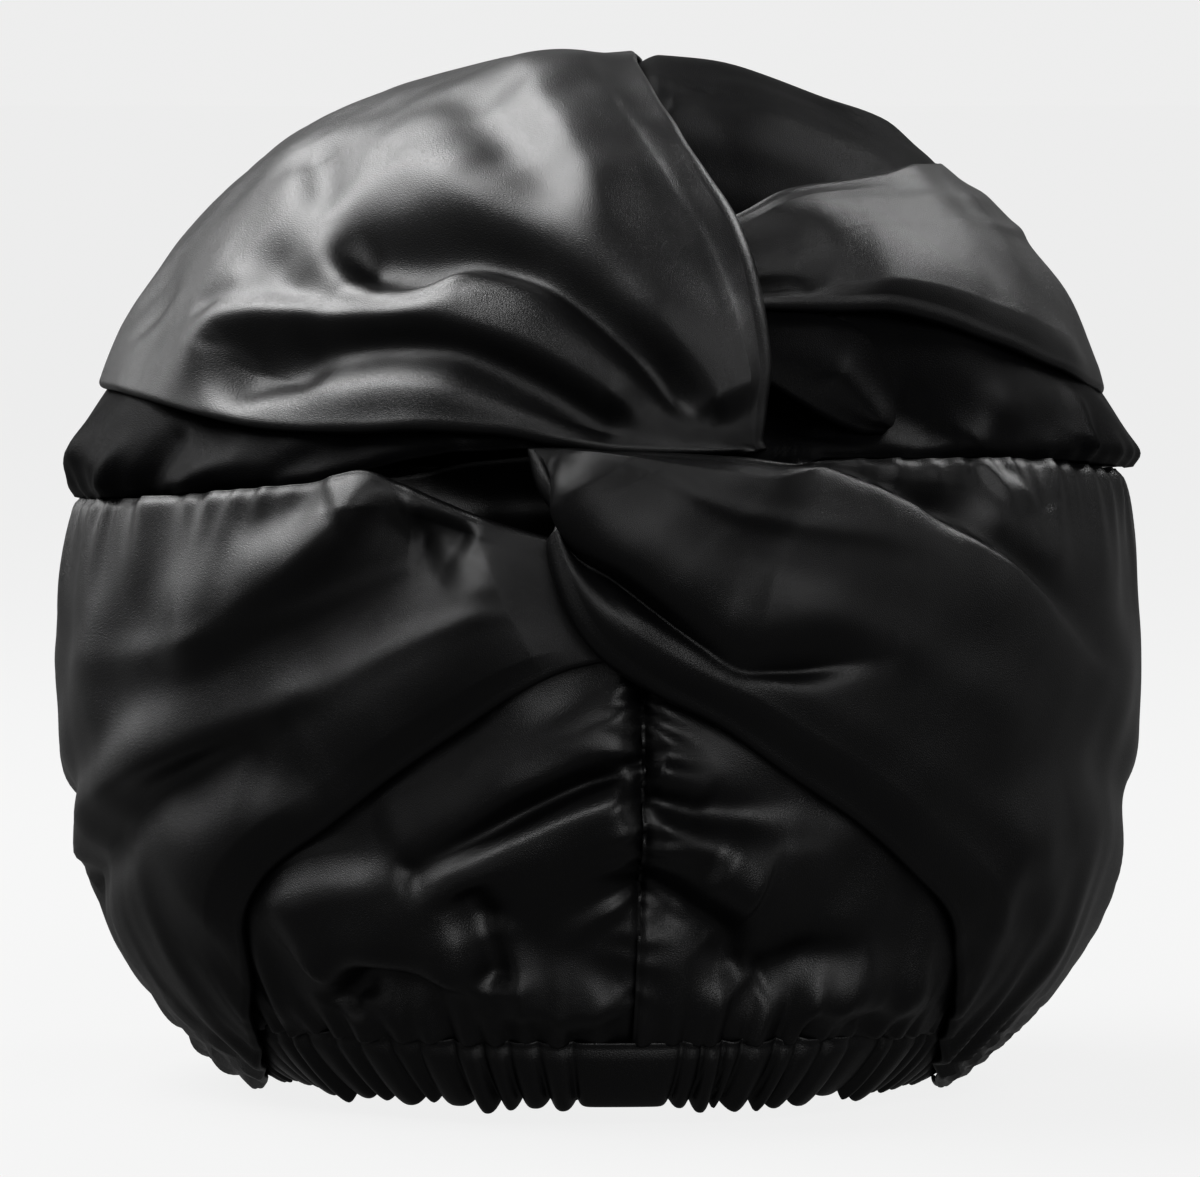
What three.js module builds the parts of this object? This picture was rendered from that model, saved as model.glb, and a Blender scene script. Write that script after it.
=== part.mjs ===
import * as THREE from 'three';

// Sizes of the cap, in millimetres. The front faces -Y and +Z is up.
const CLOTH = 1.5;
const GAP = 0.4;
const HALF_WIDTH = 116;
const FRONT_DEPTH = 112;
const BACK_DEPTH = 141;
const BELLY_HEIGHT = 84;
const TOP_HEIGHT = 222.5;
const HEM_NARROWING = { side: 0.337, front: 0.19, back: 0.333 };
const BELLY_POWER = 2.6;
const DOME_POWER = 2.6;
const DOME_ROUND = 2.25;
const HEM_BOTTOM = 3.2;
const HEM_TOP = 16;
const HEM_THICK = 2.6;
const RUFFLE_COUNT = 52;
const RUFFLE_DEPTH = 1.1;
const HEM_JOIN = { from: -4, to: 12, fade: 5 };
const PANEL_SEAM_ANGLE = 4.55;
const PANEL_SEAM_GAP_ANGLE = 0.1;
const PANEL_REACH_ANGLE = 70;
const CROWN_COLUMNS = 36;
const CENTRE = new THREE.Vector3(0, 0, 100);

const SATIN = { color: 0x17181a, roughness: 0.42, metalness: 0 };

// The waist seam round the cap: its height, how far the crown stands out at it, and the swell above it.
const WAIST = [
  { angle: -180, height: 130, rim: 2.4, swell: 2, rise: 8 },
  { angle: -110, height: 127.4, rim: 2.4, swell: 4.2, rise: 9 },
  { angle: -80, height: 128, rim: 2.4, swell: 5.4, rise: 10 },
  { angle: -55, height: 130.7, rim: 2.4, swell: 3, rise: 7 },
  { angle: -34, height: 134.4, rim: 2.2, swell: 1, rise: 4 },
  { angle: -15, height: 142, rim: 0.2, swell: 0, rise: 4 },
  { angle: 0, height: 143.2, rim: 0, swell: 0, rise: 4 },
  { angle: 22, height: 140.2, rim: 1, swell: 0, rise: 4 },
  { angle: 50, height: 138.8, rim: 2.4, swell: 1.2, rise: 4 },
  { angle: 88, height: 135.2, rim: 2.4, swell: 4.6, rise: 5 },
  { angle: 120, height: 131.5, rim: 2.4, swell: 3.8, rise: 6 },
  { angle: 180, height: 130, rim: 2.4, swell: 2, rise: 8 },
];
const SWELL_REACH = 6;
const RIM_REACH = 6;
const CROWN_RINGS_NEAR_SEAM = [0, 4.5, 9, 15];
const CROWN_RINGS_ABOVE = [0.3, 0.5, 0.68, 0.84, 0.96];

// Each drape runs from the knot to the back between two edges, a row for each station along it.
// An edge is an angle from the front, a height, and the lift of the cloth off the cap's form.
const UPPER_LEFT = [
  { edge: [17.4, 142.2, 5], other: [15.6, 141.8, 4.6] },
  { edge: [18.4, 150, 5.6], other: [9, 142.2, 3.4] },
  { edge: [19.3, 161, 6], other: [2, 143, 2.4] },
  { edge: [19.4, 172, 6.4], other: [-5, 144, 2.4] },
  { edge: [18.8, 184, 6.4], other: [-12, 144.8, 2.4] },
  { edge: [17, 195, 5], other: [-20, 145, 3] },
  { edge: [14.5, 205, 3.4], other: [-29, 144.8, 3.6] },
  { edge: [12, 213.5, 2.6], other: [-40, 145.2, 3.8] },
  { edge: [17, 219.3, 2.4], other: [-51, 147.2, 3.8] },
  { edge: [35, 221.5, 2.4], other: [-60, 149.2, 3.8] },
  { edge: [90, 222.2, 2.4], other: [-68, 150.4, 3.8] },
  { edge: [145, 221.4, 2.4], other: [-76, 151, 3.8] },
  { edge: [165, 219, 2.4], other: [-83, 151, 3.8] },
  { edge: [175, 210, 2.4], other: [-94, 151, 3.8] },
  { edge: [178, 196, 2.4], other: [-108, 150, 3.6] },
  { edge: [179.4, 181, 2.4], other: [-130, 149.4, 3.2] },
  { edge: [180.15, 166, 2.4], other: [-156, 149, 2.8] },
  { edge: [180.15, 152, 2.4], other: [-176, 149, 2.6] },
];
const UPPER_RIGHT = [
  { edge: [15, 186, 2.2], other: [15, 172.5, 2.2] },
  { edge: [20, 189, 2.2], other: [20, 170.4, 2.2] },
  { edge: [28, 193.2, 2.2], other: [28, 169.8, 2.2] },
  { edge: [40.9, 197.6, 2.2], other: [36, 169.2, 2.2] },
  { edge: [54, 200, 2.2], other: [44, 167, 2.2] },
  { edge: [74, 201.3, 2.2], other: [54, 162.4, 2.4] },
  { edge: [96, 201, 2.2], other: [66, 157, 3] },
  { edge: [118, 199, 2.2], other: [80, 151.4, 3.8] },
  { edge: [140, 193, 2.2], other: [100, 147.6, 4.2] },
  { edge: [160, 184, 2.2], other: [132, 148, 3.6] },
  { edge: [172, 174, 2.2], other: [160, 148.6, 2.8] },
  { edge: [179.85, 166, 2.2], other: [179.85, 149, 2.6] },
];
const LOOP_TAIL = [
  { edge: [14.6, 167, 2.2], other: [14.6, 157, 2.2] },
  { edge: [19, 168, 2.2], other: [18.6, 154, 2.2] },
  { edge: [24, 168, 2.2], other: [22, 149.4, 2.2] },
  { edge: [29, 164, 2.2], other: [25, 146.4, 3] },
  { edge: [32, 158, 2.4], other: [27.6, 145, 3.4] },
  { edge: [33, 151, 3], other: [30.4, 145.4, 3.4] },
];
const LOWER_LEFT = [
  { edge: [-3, 122, 2.2], other: [2.6, 98.6, 2.2] },
  { edge: [-11.4, 127, 2.2], other: [-3.5, 95.6, 2.2] },
  { edge: [-17, 131, 2.2], other: [-8.5, 91, 2.2] },
  { edge: [-22, 134.6, 2.2], other: [-14.4, 83.2, 2.2] },
  { edge: [-26, 136.6, 2.2], other: [-22, 73, 2.2] },
  { edge: [-34.3, 133.9, 2.3], other: [-29.4, 62.7, 2.2] },
  { edge: [-43, 132.1, 2.3], other: [-39, 51.3, 2.2] },
  { edge: [-54, 130.3, 2.3], other: [-44, 42, 2.2] },
  { edge: [-66, 128.8, 2.3], other: [-47.5, 31, 2.2] },
  { edge: [-80, 127.5, 2.3], other: [-53, 21, 2.3] },
  { edge: [-90, 127.1, 2.3], other: [-62, 17.2, 2.3] },
  { edge: [-102, 126.9, 2.3], other: [-76, 17.2, 2.2] },
  { edge: [-114, 126.9, 2.3], other: [-92, 17, 2] },
  { edge: [-127, 127.4, 2.3], other: [-108, 17, 2] },
  { edge: [-140, 128.2, 2.3], other: [-126, 17, 2] },
  { edge: [-153, 128.8, 2.3], other: [-144, 17, 2] },
  { edge: [-166, 129.2, 2.3], other: [-162, 17, 2] },
  { edge: [-179.9, 129.5, 2.3], other: [-179.9, 17, 2] },
];
const LOWER_RIGHT = [
  { edge: [-3.4, 141.4, 3], other: [-8.1, 141.4, 3] },
  { edge: [2, 141.2, 3], other: [-6.6, 132, 4.6] },
  { edge: [8, 140.8, 3], other: [-5.6, 121.4, 5.2] },
  { edge: [14, 140, 2.8], other: [-3.9, 110, 5.2] },
  { edge: [20.5, 139, 2.4], other: [-0.5, 99.5, 5.2] },
  { edge: [27, 139.3, 2.3], other: [5, 91.5, 3.4] },
  { edge: [34, 139.2, 2.3], other: [12, 84.5, 2.4] },
  { edge: [42, 138.8, 2.3], other: [19.5, 74, 2.2] },
  { edge: [50, 138.3, 2.3], other: [28, 63.5, 2.2] },
  { edge: [60, 137.5, 2.3], other: [36, 52.3, 2.2] },
  { edge: [72, 136.4, 2.3], other: [42.5, 43.5, 2.2] },
  { edge: [86, 134.9, 2.3], other: [47.1, 33.7, 2.2] },
  { edge: [97, 133.4, 2.3], other: [53.1, 22, 2.3] },
  { edge: [107, 132.2, 2.3], other: [62, 17.2, 2.3] },
  { edge: [117, 131.2, 2.3], other: [76, 17.2, 2.2] },
  { edge: [127, 130.7, 2.3], other: [92, 17, 2] },
  { edge: [138, 130.3, 2.3], other: [108, 17, 2] },
  { edge: [149, 130, 2.3], other: [126, 17, 2] },
  { edge: [160, 129.7, 2.3], other: [144, 17, 2] },
  { edge: [170, 129.6, 2.3], other: [162, 17, 2] },
  { edge: [179.9, 129.5, 2.3], other: [179.9, 17, 2] },
];

// The folds: a crest line of angles and heights, its rise, and its reach on the soft and the steep side.
// The steep side lies to the right of the line as it is followed. A negative rise is a valley.
const UPPER_LEFT_FOLDS = [
  { line: [[-41, 195], [-36, 202], [-25, 198.5], [-14.7, 190.5],
    [-4.4, 181.6], [4.2, 171], [10, 160], [13.5, 148]],
    rise: 6, soft: 17, steep: 9 },
  { line: [[-52, 160], [-48, 166], [-43, 169], [-33, 169.5], [-22, 168],
    [-12, 164], [-5, 158.5], [2, 150]],
    rise: 5, soft: 11, steep: 8 },
  { line: [[-78, 152], [-60, 151], [-44, 149.5], [-32, 153], [-20, 155], [-13, 150], [-6, 147]],
    rise: 2.6, soft: 8, steep: 6 },
  { line: [[-75, 200], [-58, 196], [-45, 191]], rise: -2, soft: 7, steep: 7 },
];
const UPPER_RIGHT_FOLDS = [
  { line: [[25, 188.5], [29, 188.6], [33, 185.5], [35, 179], [33, 174]],
    rise: 3, soft: 6, steep: 7 },
  { line: [[34, 184], [48, 186], [64, 183], [86, 176], [112, 171]],
    rise: 4.5, soft: 13, steep: 15 },
];
const LOOP_TAIL_FOLDS = [
  { line: [[25, 161], [28, 157], [29.6, 153], [30.6, 149]], rise: 2.2, soft: 5, steep: 5 },
];
const LOWER_LEFT_FOLDS = [
  { line: [[-50, 100], [-40.8, 108.6], [-33.8, 117.3], [-28.4, 127.3], [-25.4, 134]],
    rise: 2.4, soft: 9, steep: 7 },
  { line: [[-40, 60], [-32, 68], [-24.3, 83.6], [-17.6, 93.7], [-12, 106.8]],
    rise: 3.2, soft: 12, steep: 9 },
  { line: [[-92, 36], [-78, 44.4], [-65, 56.4], [-54.9, 67.8],
    [-46.2, 76.1], [-38, 83.5], [-31.5, 90.4]],
    rise: 4.5, soft: 20, steep: 7 },
];
const LOWER_RIGHT_FOLDS = [
  { line: [[60, 96], [52.3, 104.4], [45.7, 113], [37.2, 123.5], [28.5, 132], [21, 136]],
    rise: 4.2, soft: 18, steep: 6 },
  { line: [[-2.3, 136], [0.5, 123], [4.4, 114.3], [7.5, 109.4], [13.9, 102], [20, 100]],
    rise: 4, soft: 10, steep: 5 },
  { line: [[-5, 134], [-3, 120], [0.6, 108], [6, 98], [14, 91], [26, 84], [38, 76]],
    rise: 2.6, soft: 7, steep: 7 },
  { line: [[112, 36], [90, 46], [74, 54], [62, 62]], rise: 3, soft: 12, steep: 8 },
];
const PANEL_FOLDS = [
  { line: [[3, 79], [-3.5, 70.5], [-10.8, 62.5], [-18, 57], [-26, 53]],
    rise: -3, soft: 6, steep: 6 },
  { line: [[-12, 52], [-11, 38], [-9, 27]], rise: -2, soft: 6, steep: 6 },
  { line: [[-34, 28], [-26, 30], [-20, 27]], rise: -2.4, soft: 6, steep: 6 },
  { line: [[6, 72], [14, 69], [24, 66]], rise: -2, soft: 5, steep: 6 },
  { line: [[6, 58], [9.5, 51], [14.5, 43], [16.2, 30]], rise: -2.6, soft: 7, steep: 6 },
  { line: [[PANEL_SEAM_ANGLE, 92], [PANEL_SEAM_ANGLE, 22]], rise: -1.6, soft: 4, steep: 4 },
];

function degrees(value) {
  return THREE.MathUtils.degToRad(value);
}

// The smooth form under all the cloth: how wide a section is at a height, against the widest one.
function sectionShare(height, narrowing) {
  if (height >= BELLY_HEIGHT) {
    const rise = Math.min((height - BELLY_HEIGHT) / (TOP_HEIGHT - BELLY_HEIGHT), 1);
    return (1 - rise ** DOME_POWER) ** (1 / DOME_ROUND);
  }
  const drop = (BELLY_HEIGHT - height) / BELLY_HEIGHT;
  return 1 - narrowing * drop ** BELLY_POWER;
}

function sectionRadii(height, behind) {
  const depth = behind ? BACK_DEPTH : FRONT_DEPTH;
  const depthNarrowing = behind ? HEM_NARROWING.back : HEM_NARROWING.front;
  return {
    across: HALF_WIDTH * sectionShare(height, HEM_NARROWING.side),
    deep: depth * sectionShare(height, depthNarrowing),
  };
}

function formPoint(angle, height) {
  const turn = degrees(angle);
  const radii = sectionRadii(height, Math.cos(turn) < 0);
  return new THREE.Vector3(radii.across * Math.sin(turn), -radii.deep * Math.cos(turn), height);
}

function outsideForm(point) {
  if (point.z >= TOP_HEIGHT) {
    return 1 + point.z - TOP_HEIGHT;
  }
  const radii = sectionRadii(point.z, point.y > 0);
  return Math.hypot(point.x / radii.across, point.y / radii.deep) - 1;
}

// Brings a point onto the form along the line from the cap's centre.
function ontoForm(point) {
  const reach = point.clone().sub(CENTRE);
  let near = 0.3;
  let far = 3;
  for (let step = 0; step < 44; step += 1) {
    const middle = (near + far) / 2;
    const tried = CENTRE.clone().addScaledVector(reach, middle);
    if (outsideForm(tried) > 0) {
      far = middle;
    } else {
      near = middle;
    }
  }
  return CENTRE.clone().addScaledVector(reach, near);
}

// The outward direction of the form, from three nearby points on it.
function formNormal(point) {
  const outward = point.clone().sub(CENTRE).normalize();
  const helper = Math.abs(outward.z) < 0.8 ? new THREE.Vector3(0, 0, 1) : new THREE.Vector3(1, 0, 0);
  const along = new THREE.Vector3().crossVectors(helper, outward).normalize();
  const across = new THREE.Vector3().crossVectors(outward, along);
  const step = 2;
  const right = ontoForm(point.clone().addScaledVector(along, step));
  const left = ontoForm(point.clone().addScaledVector(along, -step));
  const upper = ontoForm(point.clone().addScaledVector(across, step));
  const lower = ontoForm(point.clone().addScaledVector(across, -step));
  const normal = new THREE.Vector3().crossVectors(right.sub(left), upper.sub(lower)).normalize();
  return normal.dot(outward) < 0 ? normal.negate() : normal;
}

function foldCurve(fold) {
  const stations = fold.line.map(([angle, height]) => formPoint(angle, height));
  return new THREE.CatmullRomCurve3(stations).getPoints(6 * stations.length).map(ontoForm);
}

function withCurves(folds) {
  return folds.map((fold) => ({ ...fold, curve: foldCurve(fold) }));
}

// How far a set of folds lifts the cloth at one place on the form.
function foldLift(point, normal, folds) {
  let lift = 0;
  for (const fold of folds) {
    let nearest = Infinity;
    let side = 0;
    for (let at = 0; at + 1 < fold.curve.length; at += 1) {
      const piece = new THREE.Line3(fold.curve[at], fold.curve[at + 1]);
      const foot = piece.closestPointToPoint(point, true, new THREE.Vector3());
      const distance = foot.distanceTo(point);
      if (distance < nearest) {
        nearest = distance;
        const run = piece.delta(new THREE.Vector3());
        side = new THREE.Vector3().crossVectors(run, normal).dot(point.clone().sub(foot));
      }
    }
    const reach = side > 0 ? fold.steep : fold.soft;
    lift += fold.rise * Math.exp(-((nearest / reach) ** 2));
  }
  return lift;
}

// Turns two matching grids, an outer and an inner face, into one closed wall.
// A strip is closed at both ends, a ring joins its ends, and a dome is a ring with a top on each face.
function closedWall(outer, inner, form) {
  const columns = outer.length;
  const rows = outer[0].length;
  const positions = [...outer, ...inner].flatMap((column) => column.flatMap((point) => point.toArray()));
  const faces = [];
  const inside = columns * rows;
  const index = (column, row) => (column % columns) * rows + row;
  const quad = (a, b, c, d) => {
    faces.push(a, b, c, a, c, d);
  };
  const lastColumn = form === 'strip' ? columns - 1 : columns;
  for (let column = 0; column < lastColumn; column += 1) {
    for (let row = 0; row + 1 < rows; row += 1) {
      const a = index(column, row);
      const b = index(column + 1, row);
      const c = index(column + 1, row + 1);
      const d = index(column, row + 1);
      quad(a, b, c, d);
      quad(inside + d, inside + c, inside + b, inside + a);
    }
    const lowA = index(column, 0);
    const lowB = index(column + 1, 0);
    quad(inside + lowA, inside + lowB, lowB, lowA);
    const highA = index(column, rows - 1);
    const highB = index(column + 1, rows - 1);
    if (form === 'dome') {
      faces.push(highA, highB, 2 * inside);
      faces.push(inside + highB, inside + highA, 2 * inside + 1);
    } else {
      quad(highA, highB, inside + highB, inside + highA);
    }
  }
  if (form === 'dome') {
    positions.push(0, 0, TOP_HEIGHT + CLOTH, 0, 0, TOP_HEIGHT);
  }
  if (form === 'strip') {
    for (let row = 0; row + 1 < rows; row += 1) {
      const startA = index(0, row);
      const startB = index(0, row + 1);
      quad(startA, startB, inside + startB, inside + startA);
      const endA = index(columns - 1, row);
      const endB = index(columns - 1, row + 1);
      quad(inside + endA, inside + endB, endB, endA);
    }
  }
  return facedOutward(positions, faces);
}

function facedOutward(positions, faces) {
  let volume = 0;
  const corner = (at) => new THREE.Vector3().fromArray(positions, 3 * at);
  for (let at = 0; at < faces.length; at += 3) {
    const a = corner(faces[at]);
    volume += a.dot(corner(faces[at + 1]).cross(corner(faces[at + 2])));
  }
  if (volume < 0) {
    for (let at = 0; at < faces.length; at += 3) {
      [faces[at + 1], faces[at + 2]] = [faces[at + 2], faces[at + 1]];
    }
  }
  const geometry = new THREE.BufferGeometry();
  geometry.setAttribute('position', new THREE.Float32BufferAttribute(positions, 3));
  geometry.setIndex(faces);
  geometry.computeVertexNormals();
  return geometry;
}

// A drape: its stations and folds, the swell between its edges, and how finely it is divided.
function drape(stations, folds, { swell, least, along, across }) {
  const between = (key, item, share) => {
    const place = share * (stations.length - 1);
    const low = Math.min(Math.floor(place), stations.length - 2);
    const from = stations[low][key][item];
    const to = stations[low + 1][key][item];
    return THREE.MathUtils.lerp(from, to, place - low);
  };
  const rail = (key, share) => formPoint(between(key, 0, share), between(key, 1, share));
  const curves = withCurves(folds);
  const outer = [];
  const inner = [];
  for (let column = 0; column <= along; column += 1) {
    const share = column / along;
    const from = rail('edge', share);
    const to = rail('other', share);
    const edgeLift = between('edge', 2, share);
    const otherLift = between('other', 2, share);
    const ends = Math.min(1, 6 * share, 6 * (1 - share));
    const outerColumn = [];
    const innerColumn = [];
    for (let row = 0; row <= across; row += 1) {
      const cross = row / across;
      const place = ontoForm(from.clone().lerp(to, cross));
      const normal = formNormal(place);
      const seat = THREE.MathUtils.lerp(edgeLift, otherLift, cross);
      const fullness = swell * (1 - Math.abs(2 * cross - 1) ** 4);
      const free = Math.min(1, 8 * cross, 8 * (1 - cross));
      const lift = Math.max(seat + ends * (fullness + free * foldLift(place, normal, curves)), least);
      outerColumn.push(place.clone().addScaledVector(normal, lift + CLOTH));
      innerColumn.push(place.clone().addScaledVector(normal, lift));
    }
    outer.push(outerColumn);
    inner.push(innerColumn);
  }
  return closedWall(outer, inner, 'strip');
}

// A value of the waist table at any angle.
function waistAt(angle, key) {
  let low = 0;
  while (low + 2 < WAIST.length && WAIST[low + 1].angle < angle) {
    low += 1;
  }
  const share = (angle - WAIST[low].angle) / (WAIST[low + 1].angle - WAIST[low].angle);
  return THREE.MathUtils.lerp(WAIST[low][key], WAIST[low + 1][key], THREE.MathUtils.smoothstep(share, 0, 1));
}

// The crown rises from the waist seam, where it stands out, to a small cap at the top.
function crown() {
  const outer = [];
  const inner = [];
  for (let column = 0; column < CROWN_COLUMNS; column += 1) {
    const angle = -180 + (360 * column) / CROWN_COLUMNS;
    const foot = waistAt(angle, 'height') + GAP;
    const rings = CROWN_RINGS_ABOVE.map((step) => (TOP_HEIGHT - foot) * (1 - (1 - step) ** 2));
    const outerColumn = [];
    const innerColumn = [];
    for (const above of [...CROWN_RINGS_NEAR_SEAM, ...rings]) {
      const height = foot + above;
      const place = formPoint(angle, height);
      const normal = formNormal(place);
      const rim = waistAt(angle, 'rim') * Math.exp(-((above / RIM_REACH) ** 2));
      const fromPeak = (above - waistAt(angle, 'rise')) / SWELL_REACH;
      const swell = waistAt(angle, 'swell') * Math.exp(-(fromPeak ** 2));
      outerColumn.push(place.clone().addScaledVector(normal, rim + swell + CLOTH));
      innerColumn.push(place.clone().addScaledVector(normal, rim + swell));
    }
    outer.push(outerColumn);
    inner.push(innerColumn);
  }
  return closedWall(outer, inner, 'dome');
}

// One side of the insert below the knot, from the hem to the waist seam.
function frontPanel(seamAngle, farAngle, along, across) {
  const curves = withCurves(PANEL_FOLDS);
  const outer = [];
  const inner = [];
  for (let column = 0; column <= along; column += 1) {
    const angle = THREE.MathUtils.lerp(seamAngle, farAngle, column / along);
    const foot = HEM_TOP + GAP;
    const head = waistAt(angle, 'height') - GAP;
    const outerColumn = [];
    const innerColumn = [];
    for (let row = 0; row <= across; row += 1) {
      const share = row / across;
      const place = formPoint(angle, THREE.MathUtils.lerp(foot, head, share ** 1.25));
      const normal = formNormal(place);
      const lift = foldLift(place, normal, curves) * Math.min(1, 6 * share);
      outerColumn.push(place.clone().addScaledVector(normal, lift + CLOTH));
      innerColumn.push(place.clone().addScaledVector(normal, lift));
    }
    outer.push(outerColumn);
    inner.push(innerColumn);
  }
  return closedWall(outer, inner, 'strip');
}

// The casing round the opening, ruffled all round but for a flat join at the front.
function elasticHem() {
  const columns = RUFFLE_COUNT * 3;
  const outer = [];
  const inner = [];
  for (let column = 0; column < columns; column += 1) {
    const angle = -180 + (360 * column) / columns;
    const intoJoin = Math.min(angle - HEM_JOIN.from, HEM_JOIN.to - angle);
    const full = 1 - THREE.MathUtils.smoothstep(intoJoin, -HEM_JOIN.fade, HEM_JOIN.fade);
    const wave = Math.cos((2 * Math.PI * column) / 3) * full;
    const outerColumn = [];
    const innerColumn = [];
    for (const height of [HEM_BOTTOM - 0.6 * wave, HEM_TOP]) {
      const spread = RUFFLE_DEPTH * wave * (height < HEM_TOP ? 1 : 0.6);
      const place = formPoint(angle, height);
      const normal = formNormal(place);
      outerColumn.push(place.clone().addScaledVector(normal, spread + HEM_THICK));
      innerColumn.push(place.clone().addScaledVector(normal, spread));
    }
    outer.push(outerColumn);
    inner.push(innerColumn);
  }
  return closedWall(outer, inner, 'ring');
}

const cap = new THREE.Group();
cap.name = 'twist_front_cap';

function addPiece(name, geometry) {
  const mesh = new THREE.Mesh(geometry, new THREE.MeshStandardMaterial(SATIN));
  mesh.name = name;
  cap.add(mesh);
}

const leftSeam = PANEL_SEAM_ANGLE - PANEL_SEAM_GAP_ANGLE;
const rightSeam = PANEL_SEAM_ANGLE + PANEL_SEAM_GAP_ANGLE;

const lowerLeft = drape(LOWER_LEFT, LOWER_LEFT_FOLDS, { swell: 1.6, least: 2, along: 34, across: 11 });
const lowerRight = drape(LOWER_RIGHT, LOWER_RIGHT_FOLDS, { swell: 1.6, least: 2, along: 40, across: 11 });
const upperLeft = drape(UPPER_LEFT, UPPER_LEFT_FOLDS, { swell: 2, least: 2.2, along: 34, across: 11 });
const upperRight = drape(UPPER_RIGHT, UPPER_RIGHT_FOLDS, { swell: 2, least: 2, along: 22, across: 8 });
const loopTail = drape(LOOP_TAIL, LOOP_TAIL_FOLDS, { swell: 0.6, least: 2, along: 8, across: 5 });

addPiece('crown', crown());
addPiece('front_panel_left', frontPanel(leftSeam, -PANEL_REACH_ANGLE, 10, 11));
addPiece('front_panel_right', frontPanel(rightSeam, PANEL_REACH_ANGLE, 9, 11));
addPiece('elastic_hem', elasticHem());
addPiece('lower_left_drape', lowerLeft);
addPiece('lower_right_drape', lowerRight);
addPiece('upper_right_drape', upperRight);
addPiece('loop_tail', loopTail);
addPiece('upper_left_drape', upperLeft);

export default cap;
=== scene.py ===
import math
from collections import namedtuple

import bpy
import numpy as np
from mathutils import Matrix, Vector


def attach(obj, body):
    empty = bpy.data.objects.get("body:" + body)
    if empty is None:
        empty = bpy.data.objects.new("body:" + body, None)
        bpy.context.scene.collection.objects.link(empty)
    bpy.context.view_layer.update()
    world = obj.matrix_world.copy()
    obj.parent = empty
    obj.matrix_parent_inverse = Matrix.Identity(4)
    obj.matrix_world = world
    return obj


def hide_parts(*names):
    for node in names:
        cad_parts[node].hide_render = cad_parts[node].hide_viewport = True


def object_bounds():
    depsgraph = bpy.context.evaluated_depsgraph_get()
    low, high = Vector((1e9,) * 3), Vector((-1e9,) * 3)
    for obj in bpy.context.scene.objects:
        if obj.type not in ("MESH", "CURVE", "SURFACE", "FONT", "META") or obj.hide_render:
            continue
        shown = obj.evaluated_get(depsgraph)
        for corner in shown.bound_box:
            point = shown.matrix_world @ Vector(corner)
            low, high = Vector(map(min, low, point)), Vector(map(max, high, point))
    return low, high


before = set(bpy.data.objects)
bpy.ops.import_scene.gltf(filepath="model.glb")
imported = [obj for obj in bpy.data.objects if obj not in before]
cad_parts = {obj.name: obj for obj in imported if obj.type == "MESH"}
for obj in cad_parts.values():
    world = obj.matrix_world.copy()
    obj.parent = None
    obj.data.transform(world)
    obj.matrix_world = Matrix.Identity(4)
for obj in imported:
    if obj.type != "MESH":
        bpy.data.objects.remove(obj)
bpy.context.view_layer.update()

# Sizes of the cap in millimetres, angles in degrees from the front, and shares and powers of its form.
# The front faces -Y and +Z is up.
MM = 0.001
HALF_WIDTH = 113.5
FRONT_DEPTH = 110.0
BACK_DEPTH = 139.0
BELLY_HEIGHT = 84.0
TOP_HEIGHT = 222.0
SIDE_NARROWING = 0.40
FRONT_NARROWING = 0.19
BACK_NARROWING = 0.333
BELLY_POWER = 2.6
DOME_POWER = 2.6
DOME_ROUND = 2.25
HEM_BOTTOM = 3.0
HEM_TOP = 16.0
PANEL_SEAM_ANGLE = 4.55
PANEL_SEAM_LAP = 0.15
PANEL_REACH = 72
MM_PER_DEGREE_AT_SEAM = 1.9
JOIN_ANGLES = (-3.8, 11.4)
CLOTH = 0.7
CENTRE = np.array([0.0, 0.0, 100.0])

# How far each kind of cloth usually lies above the form.
DRAPE_LIFT = 4.5
CROWN_LIFT = 2.0
PANEL_LIFT = 1.5

# A sewn seam dips by a depth over a width, and a rolled edge reaches out further than its radius.
SEAM_DEPTH = 1.2
SEAM_WIDTH = 1.4
ROLL_STRETCH = 1.25

# Behind the knot the crown's foot goes down, bulges to fill the knot and turns in.
TUCK_DROP = 9
TUCK_BULGE = 3.2
TUCK_TURN_IN = 8

# How far a fold is followed, what is left of it at a faded end, and how far its lap reaches.
FOLD_REACH = 2.6
FADED_LEVEL = 0.2
LAP_REACH = 1.1

# Columns of a drape's mesh for each station, at its front and behind.
FRONT_COLUMNS = 18
BACK_COLUMNS = 7

# How many waves make the unevenness of soft cloth, and the range of their starts in radians.
CRUMPLE_WAVES = 26
FULL_TURN = 6.28

# Gathers along a seam: the degrees between them, how far they stand out and how far they run.
Gathers = namedtuple("Gathers", "spacing amount length")
WAIST_GATHERS = Gathers(4.4, 2.2, 18)
WAIST_BACK_GATHERS = Gathers(11, 2.8, 46)
HEM_GATHERS = Gathers(4.6, 2.0, 28)
HEM_BACK_GATHERS = Gathers(9, 2.6, 42)
CROWN_GATHERS = Gathers(4.6, 1.7, 10)
PANEL_GATHERS = Gathers(5.0, 3.0, 22)

# The front view: where the eye is, what it looks at, and the view's middle and units per millimetre there.
EYE_DISTANCE = 2200.0
EYE_LIFT = math.radians(3)
LOOK_AT = np.array([0.0, 0.0, 107.5])
VIEW_MIDDLE = (600.0, 588.5)
VIEW_SCALE = 4.5
SENSOR_WIDTH = 36
VIEW_RIGHT = np.array([1.0, 0.0, 0.0])
VIEW_UP = np.array([0.0, math.sin(EYE_LIFT), math.cos(EYE_LIFT)])

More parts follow.
